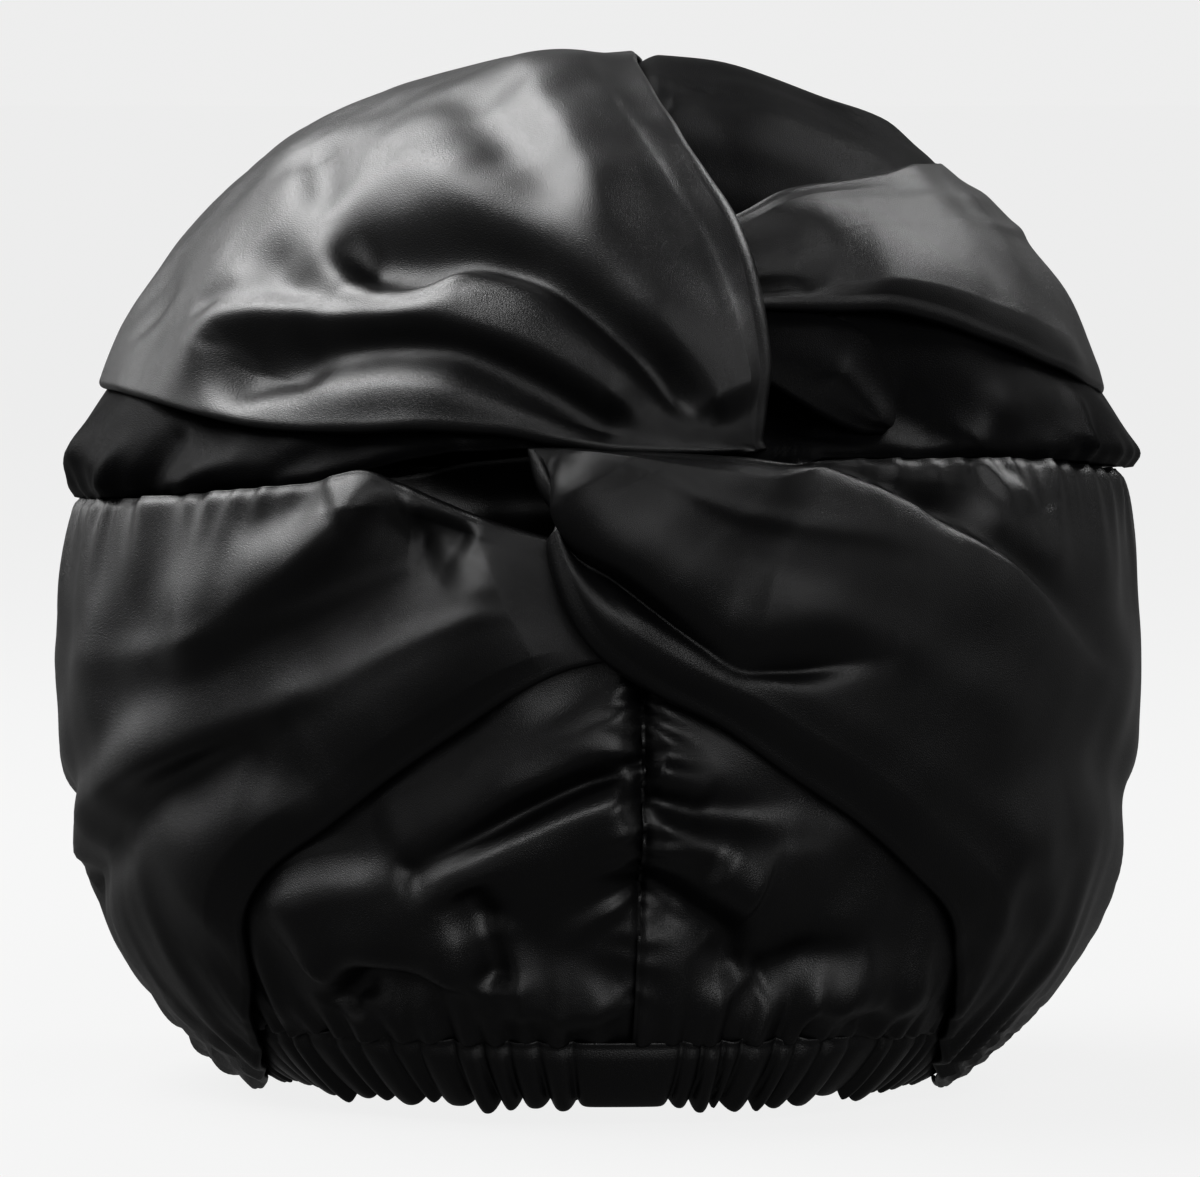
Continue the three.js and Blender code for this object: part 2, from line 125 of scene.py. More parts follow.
# The waist seam round the cap: its height, how far the crown stands out at it, and the swell above it.
Waist = namedtuple("Waist", "angle height rim swell rise")
WAIST = [
    Waist(-180, 130.0, 3.0, 2.0, 8),
    Waist(-110, 127.4, 3.0, 6.0, 9),
    Waist(-80, 128.0, 2.6, 7.4, 9),
    Waist(-55, 130.7, 2.0, 3.0, 7),
    Waist(-34, 134.4, 1.4, 1.0, 5),
    Waist(-15, 142.0, 1.4, 0.0, 4),
    Waist(0, 143.2, 2.2, 0.0, 4),
    Waist(22, 140.2, 3.4, 0.0, 4),
    Waist(50, 138.8, 1.6, 1.5, 4),
    Waist(88, 133.6, 2.6, 7.0, 4),
    Waist(120, 131.2, 2.4, 5.0, 6),
    Waist(180, 130.0, 3.0, 2.0, 8),
]

# A drape runs from the knot to the back between two edges, a row for each station along it.
# Each edge has an angle from the front, a height, the lift of the cloth there
# and the radius that it rolls under by.
Station = namedtuple("Station", "angle height lift roll angle2 height2 lift2 roll2")
UPPER_LEFT = [
    Station(17.6, 141.0, 7.0, 2.2, 15.8, 140.4, 7.0, 2.2),
    Station(18.6, 150.0, 9.0, 3.2, 9.0, 139.6, 6.8, 2.4),
    Station(19.5, 161.0, 10.0, 3.6, 2.0, 140.2, 6.2, 2.4),
    Station(19.6, 172.0, 10.5, 3.8, -5.0, 142.2, 6.0, 2.2),
    Station(18.8, 184.0, 10.0, 3.6, -12.0, 144.4, 5.8, 2.0),
    Station(16.8, 195.0, 8.0, 3.0, -20.0, 144.8, 6.4, 2.2),
    Station(14.6, 205.0, 6.4, 1.8, -29.0, 144.4, 5.4, 1.8),
    Station(12.6, 213.0, 6.0, 1.2, -40.0, 145.0, 4.6, 1.4),
    Station(14.0, 218.6, 5.8, 1.0, -51.0, 147.2, 5.4, 1.2),
    Station(26.0, 221.3, 5.4, 0.8, -60.0, 149.2, 6.2, 1.2),
    Station(58.0, 221.84, 5.0, 0.8, -64.0, 149.9, 6.2, 1.2),
    Station(90.0, 221.89, 5.0, 0.8, -68.0, 150.4, 6.2, 1.2),
    Station(119.0, 221.84, 5.0, 0.8, -72.0, 150.8, 6.2, 1.2),
    Station(145.0, 221.4, 4.4, 0.8, -76.0, 151.0, 6.2, 1.2),
    Station(165.0, 219.0, 4.4, 0.8, -83.0, 151.0, 6.2, 1.2),
    Station(175.0, 210.0, 4.2, 0.8, -94.0, 151.0, 6.2, 1.2),
    Station(178.0, 196.0, 5.0, 1.4, -108.0, 150.0, 5.6, 1.2),
    Station(179.4, 181.0, 4.6, 1.0, -130.0, 149.4, 3.6, 1.0),
    Station(180.1, 166.0, 4.4, 0.8, -156.0, 149.0, 3.6, 1.0),
    Station(180.1, 152.0, 4.4, 0.8, -176.0, 149.0, 4.6, 1.2),
]
UPPER_RIGHT = [
    Station(13.0, 186.0, 3.0, 0.6, 13.0, 172.5, 3.0, 0.6),
    Station(20.0, 189.0, 5.0, 1.6, 20.0, 170.4, 4.6, 1.6),
    Station(28.0, 193.2, 5.6, 2.0, 28.0, 169.8, 5.0, 2.0),
    Station(40.9, 196.4, 3.8, 1.4, 36.0, 169.2, 5.4, 2.2),
    Station(54.0, 198.2, 3.4, 1.2, 44.0, 167.0, 5.6, 2.2),
    Station(74.0, 199.6, 3.4, 1.0, 54.0, 162.4, 5.0, 1.8),
    Station(96.0, 199.4, 3.4, 1.0, 66.0, 157.0, 4.8, 1.6),
    Station(118.0, 198.0, 3.6, 1.0, 80.0, 151.4, 6.0, 1.4),
    Station(140.0, 193.0, 4.4, 1.4, 100.0, 147.6, 6.0, 1.2),
    Station(160.0, 184.0, 4.4, 1.2, 132.0, 148.0, 3.8, 1.0),
    Station(172.0, 174.0, 4.4, 1.0, 160.0, 148.6, 3.8, 1.0),
    Station(179.9, 166.0, 4.4, 0.8, 179.9, 149.0, 4.6, 1.2),
]
LOOP_TAIL = [
    Station(13.0, 171.0, 2.0, 0.6, 13.0, 159.0, 2.0, 0.6),
    Station(20.0, 171.0, 2.4, 0.8, 18.6, 156.0, 3.2, 1.0),
    Station(26.0, 170.4, 2.2, 0.7, 22.4, 151.6, 4.0, 1.2),
    Station(31.6, 168.4, 1.8, 0.5, 25.6, 147.8, 4.4, 1.2),
    Station(35.2, 163.4, 1.6, 0.5, 28.4, 145.4, 4.6, 1.2),
    Station(36.4, 156.6, 1.8, 0.6, 30.8, 144.2, 4.6, 1.2),
    Station(36.2, 150.2, 2.6, 0.8, 32.6, 144.2, 4.2, 1.0),
    Station(35.0, 146.6, 3.2, 0.8, 33.6, 145.0, 3.6, 0.8),
]
LOWER_LEFT = [
    Station(-2.0, 122.0, 4.0, 0.8, 3.0, 99.0, 3.6, 0.8),
    Station(-11.4, 127.0, 5.0, 1.8, -3.5, 95.8, 4.6, 1.4),
    Station(-17.0, 131.0, 5.2, 2.0, -8.5, 91.0, 4.8, 1.6),
    Station(-22.0, 134.6, 4.6, 1.6, -14.4, 83.2, 4.8, 1.6),
    Station(-26.0, 136.8, 4.0, 0.8, -22.0, 73.0, 4.8, 1.6),
    Station(-34.3, 134.0, 5.0, 0.4, -29.4, 62.7, 4.8, 1.6),
    Station(-43.0, 132.2, 5.0, 0.4, -39.0, 51.3, 4.8, 1.6),
    Station(-54.0, 130.4, 5.0, 0.4, -44.0, 42.0, 4.8, 1.6),
    Station(-66.0, 128.9, 5.0, 0.4, -47.5, 31.0, 4.8, 1.6),
    Station(-80.0, 127.7, 5.0, 0.4, -53.0, 20.0, 5.4, 1.4),
    Station(-90.0, 127.3, 5.0, 0.4, -62.0, 9.0, 6.0, 1.2),
    Station(-102.0, 127.1, 5.0, 0.4, -76.0, 3.6, 6.0, 1.0),
    Station(-114.0, 127.1, 5.0, 0.4, -92.0, 3.0, 6.0, 1.0),
    Station(-127.0, 127.6, 5.0, 0.4, -108.0, 6.0, 5.8, 1.0),
    Station(-140.0, 128.4, 5.0, 0.4, -126.0, 15.4, 4.0, 0.5),
    Station(-153.0, 129.0, 5.0, 0.4, -144.0, 16.2, 3.0, 0.5),
    Station(-166.0, 129.4, 5.0, 0.4, -162.0, 16.2, 3.0, 0.5),
    Station(-180.6, 129.7, 4.1, 0.4, -180.6, 16.2, 2.2, 0.5),
]
LOWER_RIGHT = [
    Station(-3.0, 142.0, 4.0, 1.2, -8.1, 142.0, 4.0, 1.2),
    Station(2.0, 141.4, 8.6, 2.6, -6.8, 132.0, 8.6, 3.0),
    Station(8.0, 140.8, 10.6, 3.0, -5.7, 121.4, 10.0, 3.2),
    Station(14.0, 140.0, 10.6, 3.0, -3.9, 110.0, 10.0, 3.2),
    Station(20.5, 138.8, 8.4, 2.4, -0.5, 99.5, 9.4, 3.0),
    Station(27.0, 139.4, 5.0, 0.8, 5.0, 91.5, 7.4, 2.6),
    Station(34.0, 139.3, 5.0, 0.4, 12.0, 84.5, 5.8, 2.0),
    Station(42.0, 138.9, 5.0, 0.4, 19.5, 74.0, 5.2, 1.8),
    Station(50.0, 138.4, 5.0, 0.4, 28.0, 63.5, 5.0, 1.6),
    Station(60.0, 137.6, 5.0, 0.4, 36.0, 52.3, 4.8, 1.6),
    Station(72.0, 135.4, 5.0, 0.4, 42.5, 43.5, 4.8, 1.6),
    Station(86.0, 133.5, 5.0, 0.4, 47.1, 33.7, 4.8, 1.6),
    Station(97.0, 132.6, 5.0, 0.4, 53.1, 21.0, 5.4, 1.4),
    Station(107.0, 131.8, 5.0, 0.4, 62.0, 9.0, 6.0, 1.2),
    Station(117.0, 131.4, 5.0, 0.4, 76.0, 3.6, 6.0, 1.0),
    Station(127.0, 130.9, 5.0, 0.4, 92.0, 3.0, 6.0, 1.0),
    Station(138.0, 130.5, 5.0, 0.4, 108.0, 6.0, 5.8, 1.0),
    Station(149.0, 130.2, 5.0, 0.4, 126.0, 15.4, 4.0, 0.5),
    Station(160.0, 129.9, 5.0, 0.4, 144.0, 16.2, 3.0, 0.5),
    Station(170.0, 129.8, 5.0, 0.4, 162.0, 16.2, 3.0, 0.5),
    Station(179.9, 129.7, 5.0, 0.4, 179.9, 16.2, 3.0, 0.5),
]

# A fold: its crest line, and at the line's start and end its rise, its reach on the soft and the steep side
# and how far its crest laps over the steep side, which lies right of the line. Fade is the share of the line
# over which it dies out at either end. Lines in VIEW are across and down in the front view, the others are
# angles and heights.
VIEW = "front view"
ROUND = "round the cap"
Fold = namedtuple("Fold", "kind line rise soft steep lap fade")

# A hollow: folds that run into one another without a step,
# each with its rise as a share of the hollow's depth.
Hollow = namedtuple("Hollow", "depth folds")
UPPER_LEFT_FOLDS = [
    Fold(VIEW, [(338, 158), (366, 144), (400, 148), (450, 176), (500, 208), (540, 234), (580, 264),
                (620, 297), (660, 331), (695, 366), (718, 400), (732, 430)],
         (1.5, 5), (12, 12), (9, 5), (0, 1), (0.3, 0.06)),
    Hollow(9, [
        Fold(VIEW, [(366, 256), (386, 260), (406, 264)],
             (1, 0.9), (10.5, 10.5), (4.5, 4.5), (0, 0), (0, 0)),
        Fold(VIEW, [(384, 268), (422, 262), (458, 253), (495, 256), (535, 271), (575, 297), (620, 337),
                    (668, 387), (705, 434)],
             (0.8, 0.5), (8, 4), (4.5, 3.6), (0, 0), (0, 0.12)),
    ]),
    Fold(VIEW, [(348, 270), (374, 291), (404, 296), (434, 290), (464, 278), (500, 278)],
         (2, 2), (5, 5), (5, 5), (0, 0), (0.2, 0.3)),
    Fold(VIEW, [(240, 250), (290, 279), (340, 296), (380, 300), (420, 297), (462, 287), (500, 276)],
         (-3, -3), (7, 4), (5, 3), (0, 0), (0.2, 0.3)),
    Fold(VIEW, [(188, 316), (225, 297), (270, 291), (320, 297)],
         (-1.8, -1.6), (4, 4), (4, 4), (0, 0), (0.2, 0.3)),
    Fold(VIEW, [(226, 398), (208, 372), (204, 344), (218, 322), (250, 310), (290, 305), (340, 308),
                (390, 312), (440, 318), (490, 330), (535, 347), (575, 368), (615, 394), (648, 420)],
         (2, 5), (9, 10), (5, 4), (0, 1), (0.12, 0.08)),
    Hollow(7, [
        Fold(VIEW, [(242, 382), (263, 374), (284, 366)], (1, 0.8), (11, 8), (5.5, 5.5), (0, 0), (0, 0)),
        Fold(VIEW, [(258, 376), (300, 358), (340, 347), (384, 342), (445, 348), (500, 366), (550, 391),
                    (598, 421), (634, 444)],
             (0.6, 0.5), (5, 4), (7, 5), (0, 0), (0.15, 0.08)),
    ]),
    Fold(VIEW, [(265, 414), (320, 404), (380, 396), (440, 396), (480, 410), (510, 427), (560, 435),
                (600, 432)],
         (1.2, 2), (8, 6), (7, 5), (0, 0), (0.25, 0.2)),
    Fold(VIEW, [(313, 142), (318, 166), (322, 192), (328, 218)],
         (-2.4, -1.8), (6, 6), (4, 5), (0, 0), (0.3, 0.35)),
    Fold(VIEW, [(168, 262), (156, 296), (150, 334)], (-2.4, -2.4), (9, 9), (9, 9), (0, 0), (0.3, 0.3)),
    Fold(VIEW, [(500, 66), (556, 118), (592, 180), (616, 240), (650, 305)],
         (3, 5), (15, 15), (8, 8), (0, 0), (0.3, 0.3)),
    Fold(VIEW, [(446, 78), (470, 104), (500, 140), (530, 178)],
         (-1.2, -1.2), (7, 7), (7, 7), (0, 0), (0.3, 0.3)),
    Fold(ROUND, [(-126, 168), (-118, 178), (-112, 190), (-108, 204)],
         (2, 2), (12, 10), (8, 8), (1, 1), (0.2, 0.3)),
    Fold(ROUND, [(-160, 172), (-140, 180), (-118, 190), (-100, 204)],
         (3, 2), (14, 10), (9, 8), (1, 0), (0.2, 0.3)),
    Fold(ROUND, [(-150, 158), (-128, 160), (-104, 158), (-86, 160)],
         (2.5, 2), (8, 8), (6, 6), (1, 1), (0.2, 0.3)),
]
UPPER_RIGHT_FOLDS = [
    Fold(VIEW, [(738, 262), (770, 262), (805, 268), (835, 280)],
         (-6, -3), (8, 8), (6, 6), (0, 0), (0, 0.4)),
    Fold(VIEW, [(735, 236), (775, 226), (815, 222), (860, 230)],
         (2.5, 1), (6, 8), (6, 8), (0, 0), (0, 0.4)),
    Fold(VIEW, [(790, 218), (860, 222), (930, 236), (980, 268), (1015, 310)],
         (2.5, 1), (10, 12), (20, 18), (0, 0), (0.3, 0.3)),
    Fold(VIEW, [(820, 302), (880, 300), (940, 310), (1000, 332), (1050, 358), (1090, 388)],
         (2.6, 2.4), (12, 12), (4, 4), (1, 1), (0.2, 0.2)),
    Fold(ROUND, [(92, 186), (112, 184), (134, 176), (156, 168)],
         (3, 2), (10, 8), (10, 8), (0, 0), (0.25, 0.3)),
]
LOOP_TAIL_FOLDS = [
    Fold(VIEW, [(826, 362), (850, 388), (876, 420), (880, 440)],
         (1.2, 1.4), (5, 5), (5, 4), (0, 0), (0.2, 0.1)),
]
LOWER_LEFT_FOLDS = [
    Fold(VIEW, [(160, 668), (200, 640), (230, 615), (280, 575), (330, 530), (368, 478)],
         (3, 6), (14, 9), (7, 5), (0, 2), (0.25, 0)),
    Fold(VIEW, [(336, 486), (284, 518), (238, 550)], (-3, -2), (7, 6), (7, 6), (0, 0), (0.1, 0.35)),
    Fold(VIEW, [(440, 530), (395, 570), (345, 612), (300, 652), (260, 690)],
         (-5, -2), (11, 9), (11, 9), (0, 0), (0.15, 0.3)),
    Fold(VIEW, [(330, 752), (375, 712), (420, 676), (475, 631), (503, 592), (530, 545)],
         (2.5, 5), (13, 9), (15, 10), (0, 0), (0.25, 0.15)),
    Fold(ROUND, [(-122, 46), (-106, 46), (-91, 49), (-82, 56), (-75, 62), (-63, 69.4), (-51, 76.5),
                 (-42, 81.6), (-35, 87)],
         (-2.7, 5), (8, 9), (6, 3), (0, 2), (0.2, 0.2)),
    Fold(ROUND, [(-128, 58), (-110, 56), (-95, 56), (-84, 62), (-74, 70), (-62, 78), (-52, 84)],
         (-7, -2), (8, 7), (6, 6), (0, 0), (0.2, 0.4)),
    Fold(VIEW, [(94, 878), (114, 838), (148, 799), (194, 764), (248, 736), (300, 713)],
         (-5.5, -3), (3.5, 3.5), (9, 9), (0, 0), (0, 0.3)),
    Fold(ROUND, [(-114, 55), (-92, 55), (-78, 60)], (-3, -2.5), (5, 5), (5, 5), (0, 0), (0.3, 0.3)),
    Fold(VIEW, [(240, 772), (290, 778), (330, 768)], (-2, -2), (7, 7), (7, 7), (0, 0), (0.3, 0.3)),
    Fold(VIEW, [(200, 950), (216, 880), (250, 836), (300, 804), (350, 772)],
         (3, 3), (14, 12), (12, 10), (0, 0), (0.25, 0.3)),
    Fold(VIEW, [(398, 512), (420, 505), (450, 510), (480, 524), (510, 535)],
         (2.6, 2), (4, 4), (3, 3), (0, 0), (0.2, 0.2)),
    Fold(VIEW, [(405, 525), (440, 528), (480, 545)], (-4, -3), (6, 6), (7, 7), (0, 0), (0.2, 0.3)),
    Fold(ROUND, [(-150, 40), (-130, 52), (-112, 70), (-98, 92)],
         (4, 2), (18, 14), (8, 8), (3, 1), (0.25, 0.3)),
    Fold(ROUND, [(-170, 62), (-152, 76), (-136, 96), (-126, 116)],
         (3, 2), (16, 12), (10, 8), (2, 0), (0.25, 0.3)),
]
LOWER_RIGHT_FOLDS = [
    Fold(VIEW, [(1080, 668), (1045, 628), (1010, 596), (960, 560), (910, 528), (850, 500), (790, 476),
                (746, 464), (700, 458), (650, 456), (600, 458)],
         (4, 7), (45, 14), (4, 3), (2, 3), (0.3, 0.3)),
    Fold(VIEW, [(1085, 645), (1035, 590), (980, 548), (922, 513), (862, 485), (812, 467)],
         (-1.5, -4), (5, 5), (6, 5), (0, 0), (0.3, 0)),
    Fold(VIEW, [(574, 462), (574, 500), (588, 530), (630, 556), (675, 592), (715, 626), (750, 648),
                (800, 646), (880, 640)],
         (5, 3), (10, 14), (4, 5), (4, 3), (0, 0.25)),
    Fold(VIEW, [(548, 468), (560, 510), (588, 552), (640, 592), (692, 626), (748, 655), (800, 655),
                (870, 652)],
         (-8, -5), (5, 5), (4, 4), (0, 0), (0, 0.2)),
    Fold(VIEW, [(532, 500), (552, 560), (590, 610), (650, 648), (730, 684), (830, 720), (930, 780)],
         (3, 2.4), (7, 16), (6, 14), (0, 0), (0.1, 0.3)),
    Fold(VIEW, [(985, 474), (950, 505), (905, 535)], (-3, -2), (8, 7), (8, 7), (0, 0), (0.1, 0.35)),
    Fold(VIEW, [(1010, 474), (1000, 520), (1030, 560), (1080, 590)],
         (2.6, 1.6), (9, 12), (8, 10), (0, 0), (0.1, 0.4)),
    Fold(ROUND, [(128, 58), (110, 57), (95, 56), (82, 63), (69, 71), (56, 77), (44, 82)],
         (-5.5, -2), (8, 10), (8, 10), (0, 0), (0.2, 0.3)),
    Fold(VIEW, [(960, 960), (985, 900), (1020, 850), (1062, 815)],
         (2.5, 2), (12, 10), (14, 12), (0, 0), (0.2, 0.3)),
    Fold(ROUND, [(150, 40), (130, 52), (112, 70), (98, 92)],
         (-2, -2), (12, 12), (12, 12), (0, 0), (0.25, 0.3)),
    Fold(ROUND, [(126, 116), (138, 92), (154, 74), (170, 60)],
         (2, 3), (14, 14), (9, 9), (0, 2), (0.3, 0.25)),
]
PANEL_FOLDS = [
    Fold(VIEW, [(190, 640), (300, 600), (400, 560), (470, 520)],
         (-7, -7), (24, 16), (24, 20), (0, 0), (0, 0)),
    Fold(VIEW, [(410, 478), (460, 484), (520, 488), (580, 490)],
         (-11, -12), (14, 14), (12, 12), (0, 0), (0, 0)),
    Fold(VIEW, [(110, 830), (180, 760), (280, 690), (400, 640)],
         (-8, -8), (22, 20), (16, 14), (0, 0), (0, 0)),
    Fold(VIEW, [(1080, 640), (960, 580), (820, 540), (640, 520)],
         (-7, -7), (22, 16), (22, 18), (0, 0), (0, 0)),
    Fold(VIEW, [(1080, 830), (1000, 760), (900, 690), (760, 640)],
         (-7, -7), (14, 12), (20, 20), (0, 0), (0, 0)),
    Fold(VIEW, [(386, 862), (430, 838), (480, 810), (530, 785), (580, 766), (626, 750)],
         (3, 4), (14, 9), (6, 4), (1, 1), (0.15, 0)),
    Fold(VIEW, [(398, 882), (432, 859), (482, 833), (532, 806), (580, 784), (630, 764)],
         (-5, -5.5), (4.5, 3.5), (4.5, 3.5), (0, 0), (0.1, 0)),
    Fold(VIEW, [(250, 935), (300, 903), (345, 893), (392, 887), (432, 878), (474, 862), (522, 842),
                (582, 815), (632, 785)],
         (5, 6.5), (7, 5.5), (15, 12), (0, 0), (0.2, 0)),
    Fold(VIEW, [(464, 882), (482, 918), (493, 956), (500, 990)],
         (-6, -5), (6, 5), (4, 4), (0, 0), (0.15, 0.2)),
    Fold(VIEW, [(536, 1042), (522, 1000), (508, 955), (494, 906)],
         (3.5, 4.5), (9, 9), (4, 4), (0, 0), (0.3, 0.2)),
    Fold(VIEW, [(330, 980), (348, 956), (372, 950), (412, 956), (455, 968), (492, 986)],
         (4.5, 3.4), (10, 8), (4, 3), (1, 1), (0.1, 0.2)),
    Fold(VIEW, [(342, 1010), (352, 982), (372, 972), (410, 977), (450, 991)],
         (-5, -3), (4, 4), (6, 6), (0, 0), (0.1, 0.3)),
    Fold(VIEW, [(362, 992), (376, 1020), (396, 1036)], (2, 2), (4, 4), (3, 3), (0, 0), (0.2, 0.2)),
    Fold(VIEW, [(644, 818), (680, 832), (725, 840), (775, 847), (860, 858)],
         (5, 2.5), (5, 7), (12, 14), (0, 0), (0, 0.4)),
    Fold(VIEW, [(644, 798), (682, 811), (730, 819), (800, 826)],
         (-4.5, -2), (4, 5), (4, 5), (0, 0), (0, 0.4)),
    Fold(VIEW, [(700, 866), (730, 884), (758, 896)], (4, 4.5), (9, 9), (9, 9), (0, 0), (0.3, 0.2)),
    Fold(VIEW, [(644, 884), (682, 906), (712, 923), (727, 936), (733, 964), (748, 990)],
         (-6, -5.5), (4, 4), (6, 6), (0, 0), (0, 0.2)),
    Fold(VIEW, [(652, 770), (685, 786), (712, 804)], (2.5, 2), (4, 4), (3, 4), (0, 0), (0.1, 0.3)),
    Fold(VIEW, [(755, 985), (800, 962), (870, 942)], (-4, -3), (5, 5), (6, 6), (0, 0), (0.1, 0.3)),
    Fold(VIEW, [(790, 1020), (850, 992), (930, 985)], (4, 3.4), (8, 8), (7, 7), (0, 0), (0.2, 0.2)),
    Fold(VIEW, [(846, 1020), (855, 1030), (848, 1042)],
         (-3.5, -3.5), (4, 4), (4, 4), (0, 0), (0.1, 0.1)),
    Fold(VIEW, [(560, 1040), (590, 1015), (622, 985)], (3, 2), (6, 6), (5, 5), (0, 0), (0.2, 0.3)),
]
CROWN_FOLDS = [
    Fold(VIEW, [(385, 215), (388, 240), (410, 258), (480, 252), (560, 292), (640, 358), (690, 405)],
         (-9, -5), (18, 11), (18, 11), (0, 0), (0, 0.1)),
    Fold(VIEW, [(230, 360), (300, 356), (395, 342), (498, 359), (596, 404)],
         (-7, -5), (14, 10), (14, 10), (0, 0), (0, 0.1)),
    Fold(VIEW, [(168, 262), (156, 296), (150, 334)], (-5, -5), (11, 11), (11, 11), (0, 0), (0.1, 0.1)),
    Fold(VIEW, [(700, 270), (770, 280), (830, 275)], (-6, -6), (10, 10), (10, 10), (0, 0), (0.1, 0.1)),
    Fold(VIEW, [(766, 350), (790, 375), (800, 405), (796, 435)],
         (-12, -9), (8, 8), (9, 8), (0, 0), (0, 0.1)),
    Fold(VIEW, [(664, 120), (672, 92), (677, 56)], (1.4, 1.4), (7, 7), (3, 3), (0, 0), (0.2, 0)),
    Fold(VIEW, [(960, 455), (980, 430), (992, 415), (1020, 410)],
         (2.4, 1.6), (6, 6), (5, 5), (0, 0), (0.1, 0.4)),
    Fold(VIEW, [(1066, 456), (1065, 420), (1060, 385)], (2, 1.6), (5, 5), (4, 5), (0, 0), (0.1, 0.3)),
    Fold(VIEW, [(890, 400), (920, 420), (935, 450)], (-2.4, -1.6), (7, 6), (7, 6), (0, 0), (0.2, 0.2)),
    Fold(VIEW, [(840, 120), (880, 126), (920, 150)], (1.6, 1.8), (9, 9), (9, 9), (0, 0), (0.3, 0.3)),
    Fold(ROUND, [(-84, 128), (-80, 136), (-72, 143)], (2, 1), (4, 5), (3, 4), (0, 0), (0, 0.4)),
    Fold(ROUND, [(-68, 129), (-66, 136), (-62, 142)], (2.4, 1), (4, 4), (4, 4), (0, 0), (0, 0.4)),
    Fold(ROUND, [(-61, 129), (-57, 137), (-55, 146)], (-2.4, -2), (4, 4), (4, 4), (0, 0), (0, 0.2)),
    Fold(ROUND, [(-52, 131), (-47, 136), (-40, 139)], (2, 1), (4, 4), (3, 3), (0, 0), (0, 0.4)),
    Fold(ROUND, [(-40, 133), (-36, 138), (-30, 142)], (-1.6, -1.2), (3, 3), (3, 3), (0, 0), (0, 0.4)),
]


def smooth_between(values, places):
    """Values at the stations, read off between them on a curve that never overshoots."""
    values = np.asarray(values, float)
    steps = np.diff(values)
    slopes = np.zeros(len(values))
    same_way = steps[:-1] * steps[1:] > 0
    inner = np.zeros(len(values) - 2)
    inner[same_way] = 2 * steps[:-1][same_way] * steps[1:][same_way] / (steps[:-1] + steps[1:])[same_way]
    slopes[1:-1] = inner
    slopes[0] = steps[0]
    slopes[-1] = steps[-1]
    low = np.clip(np.floor(places).astype(int), 0, len(values) - 2)
    u = places - low
    rise = values[low + 1] - values[low]
    return (values[low] + u * slopes[low] + u * u * (3 * rise - 2 * slopes[low] - slopes[low + 1])
            + u ** 3 * (slopes[low] + slopes[low + 1] - 2 * rise))


def soft_step(low, high, value):
    """Nought at low and one at high, with a soft start and end."""
    share = np.clip((value - low) / (high - low), 0, 1)
    return share * share * (3 - 2 * share)


def section_share(height, narrowing):
    """How wide the form is at a height, against its widest section."""
    rise = np.clip((height - BELLY_HEIGHT) / (TOP_HEIGHT - BELLY_HEIGHT), 0, 1)
    drop = np.clip((BELLY_HEIGHT - height) / BELLY_HEIGHT, 0, 1.3)
    upper = (1 - rise ** DOME_POWER) ** (1 / DOME_ROUND)
    lower = 1 - narrowing * drop ** BELLY_POWER
    return np.where(height >= BELLY_HEIGHT, upper, lower)


def section_radii(height, behind):
    """Half the form's width at a height, and its depth to the front or behind."""
    across = HALF_WIDTH * section_share(height, SIDE_NARROWING)
    front = FRONT_DEPTH * section_share(height, FRONT_NARROWING)
    back = BACK_DEPTH * section_share(height, BACK_NARROWING)
    return across, np.where(behind, back, front)


def form_point(angle, height):
    """Points on the form at angles from the front and heights."""
    turn = np.radians(angle)
    height = np.asarray(height, float) + 0 * turn
    across, deep = section_radii(height, np.cos(turn) < 0)
    return np.stack([across * np.sin(turn), -deep * np.cos(turn), height], axis=-1)


def outside_form(points):
    """How far points lie outside the form, as a share of its size, and below nought inside."""
    x, y, z = points[..., 0], points[..., 1], points[..., 2]
    across, deep = section_radii(np.minimum(z, TOP_HEIGHT - 1e-6), y > 0)
    return np.where(z >= TOP_HEIGHT, 1.0, np.hypot(x / across, y / deep) - 1)


def onto_form(points):
    """Brings points onto the form along lines from the cap's centre."""
    reach = points - CENTRE
    near = np.full(points.shape[:-1], 0.3)
    far = np.full(points.shape[:-1], 3.0)
    for _ in range(40):
        middle = (near + far) / 2
        out = outside_form(CENTRE + reach * middle[..., None]) > 0
        far = np.where(out, middle, far)
        near = np.where(out, near, middle)
    return CENTRE + reach * near[..., None]


def unit(vectors):
    """Vectors brought to a length of one."""
    return vectors / np.maximum(np.linalg.norm(vectors, axis=-1, keepdims=True), 1e-9)


def form_normal(points):
    """The form's outward direction, from points two millimetres to each side."""
    outward = unit(points - CENTRE)
    helper = np.where(np.abs(outward[..., 2:]) < 0.8, [0.0, 0.0, 1.0], [1.0, 0.0, 0.0])
    along = unit(np.cross(helper, outward))
    across = np.cross(outward, along)
    first = onto_form(points + 2 * along) - onto_form(points - 2 * along)
    second = onto_form(points + 2 * across) - onto_form(points - 2 * across)
    normal = unit(np.cross(first, second))
    return np.where((normal * outward).sum(-1, keepdims=True) < 0, -normal, normal)


def form_angle(points):
    """The angle from the front and the height of points on the form."""
    across, deep = section_radii(np.minimum(points[..., 2], TOP_HEIGHT - 0.01), points[..., 1] > 0)
    return np.degrees(np.arctan2(points[..., 0] / across, -points[..., 1] / deep)), points[..., 2]


def waist_at(angle, key):
    """A column of the waist table at any angle."""
    angles = [row.angle for row in WAIST]
    places = np.interp(angle, angles, np.arange(len(WAIST)))
    return smooth_between([getattr(row, key) for row in WAIST], places)


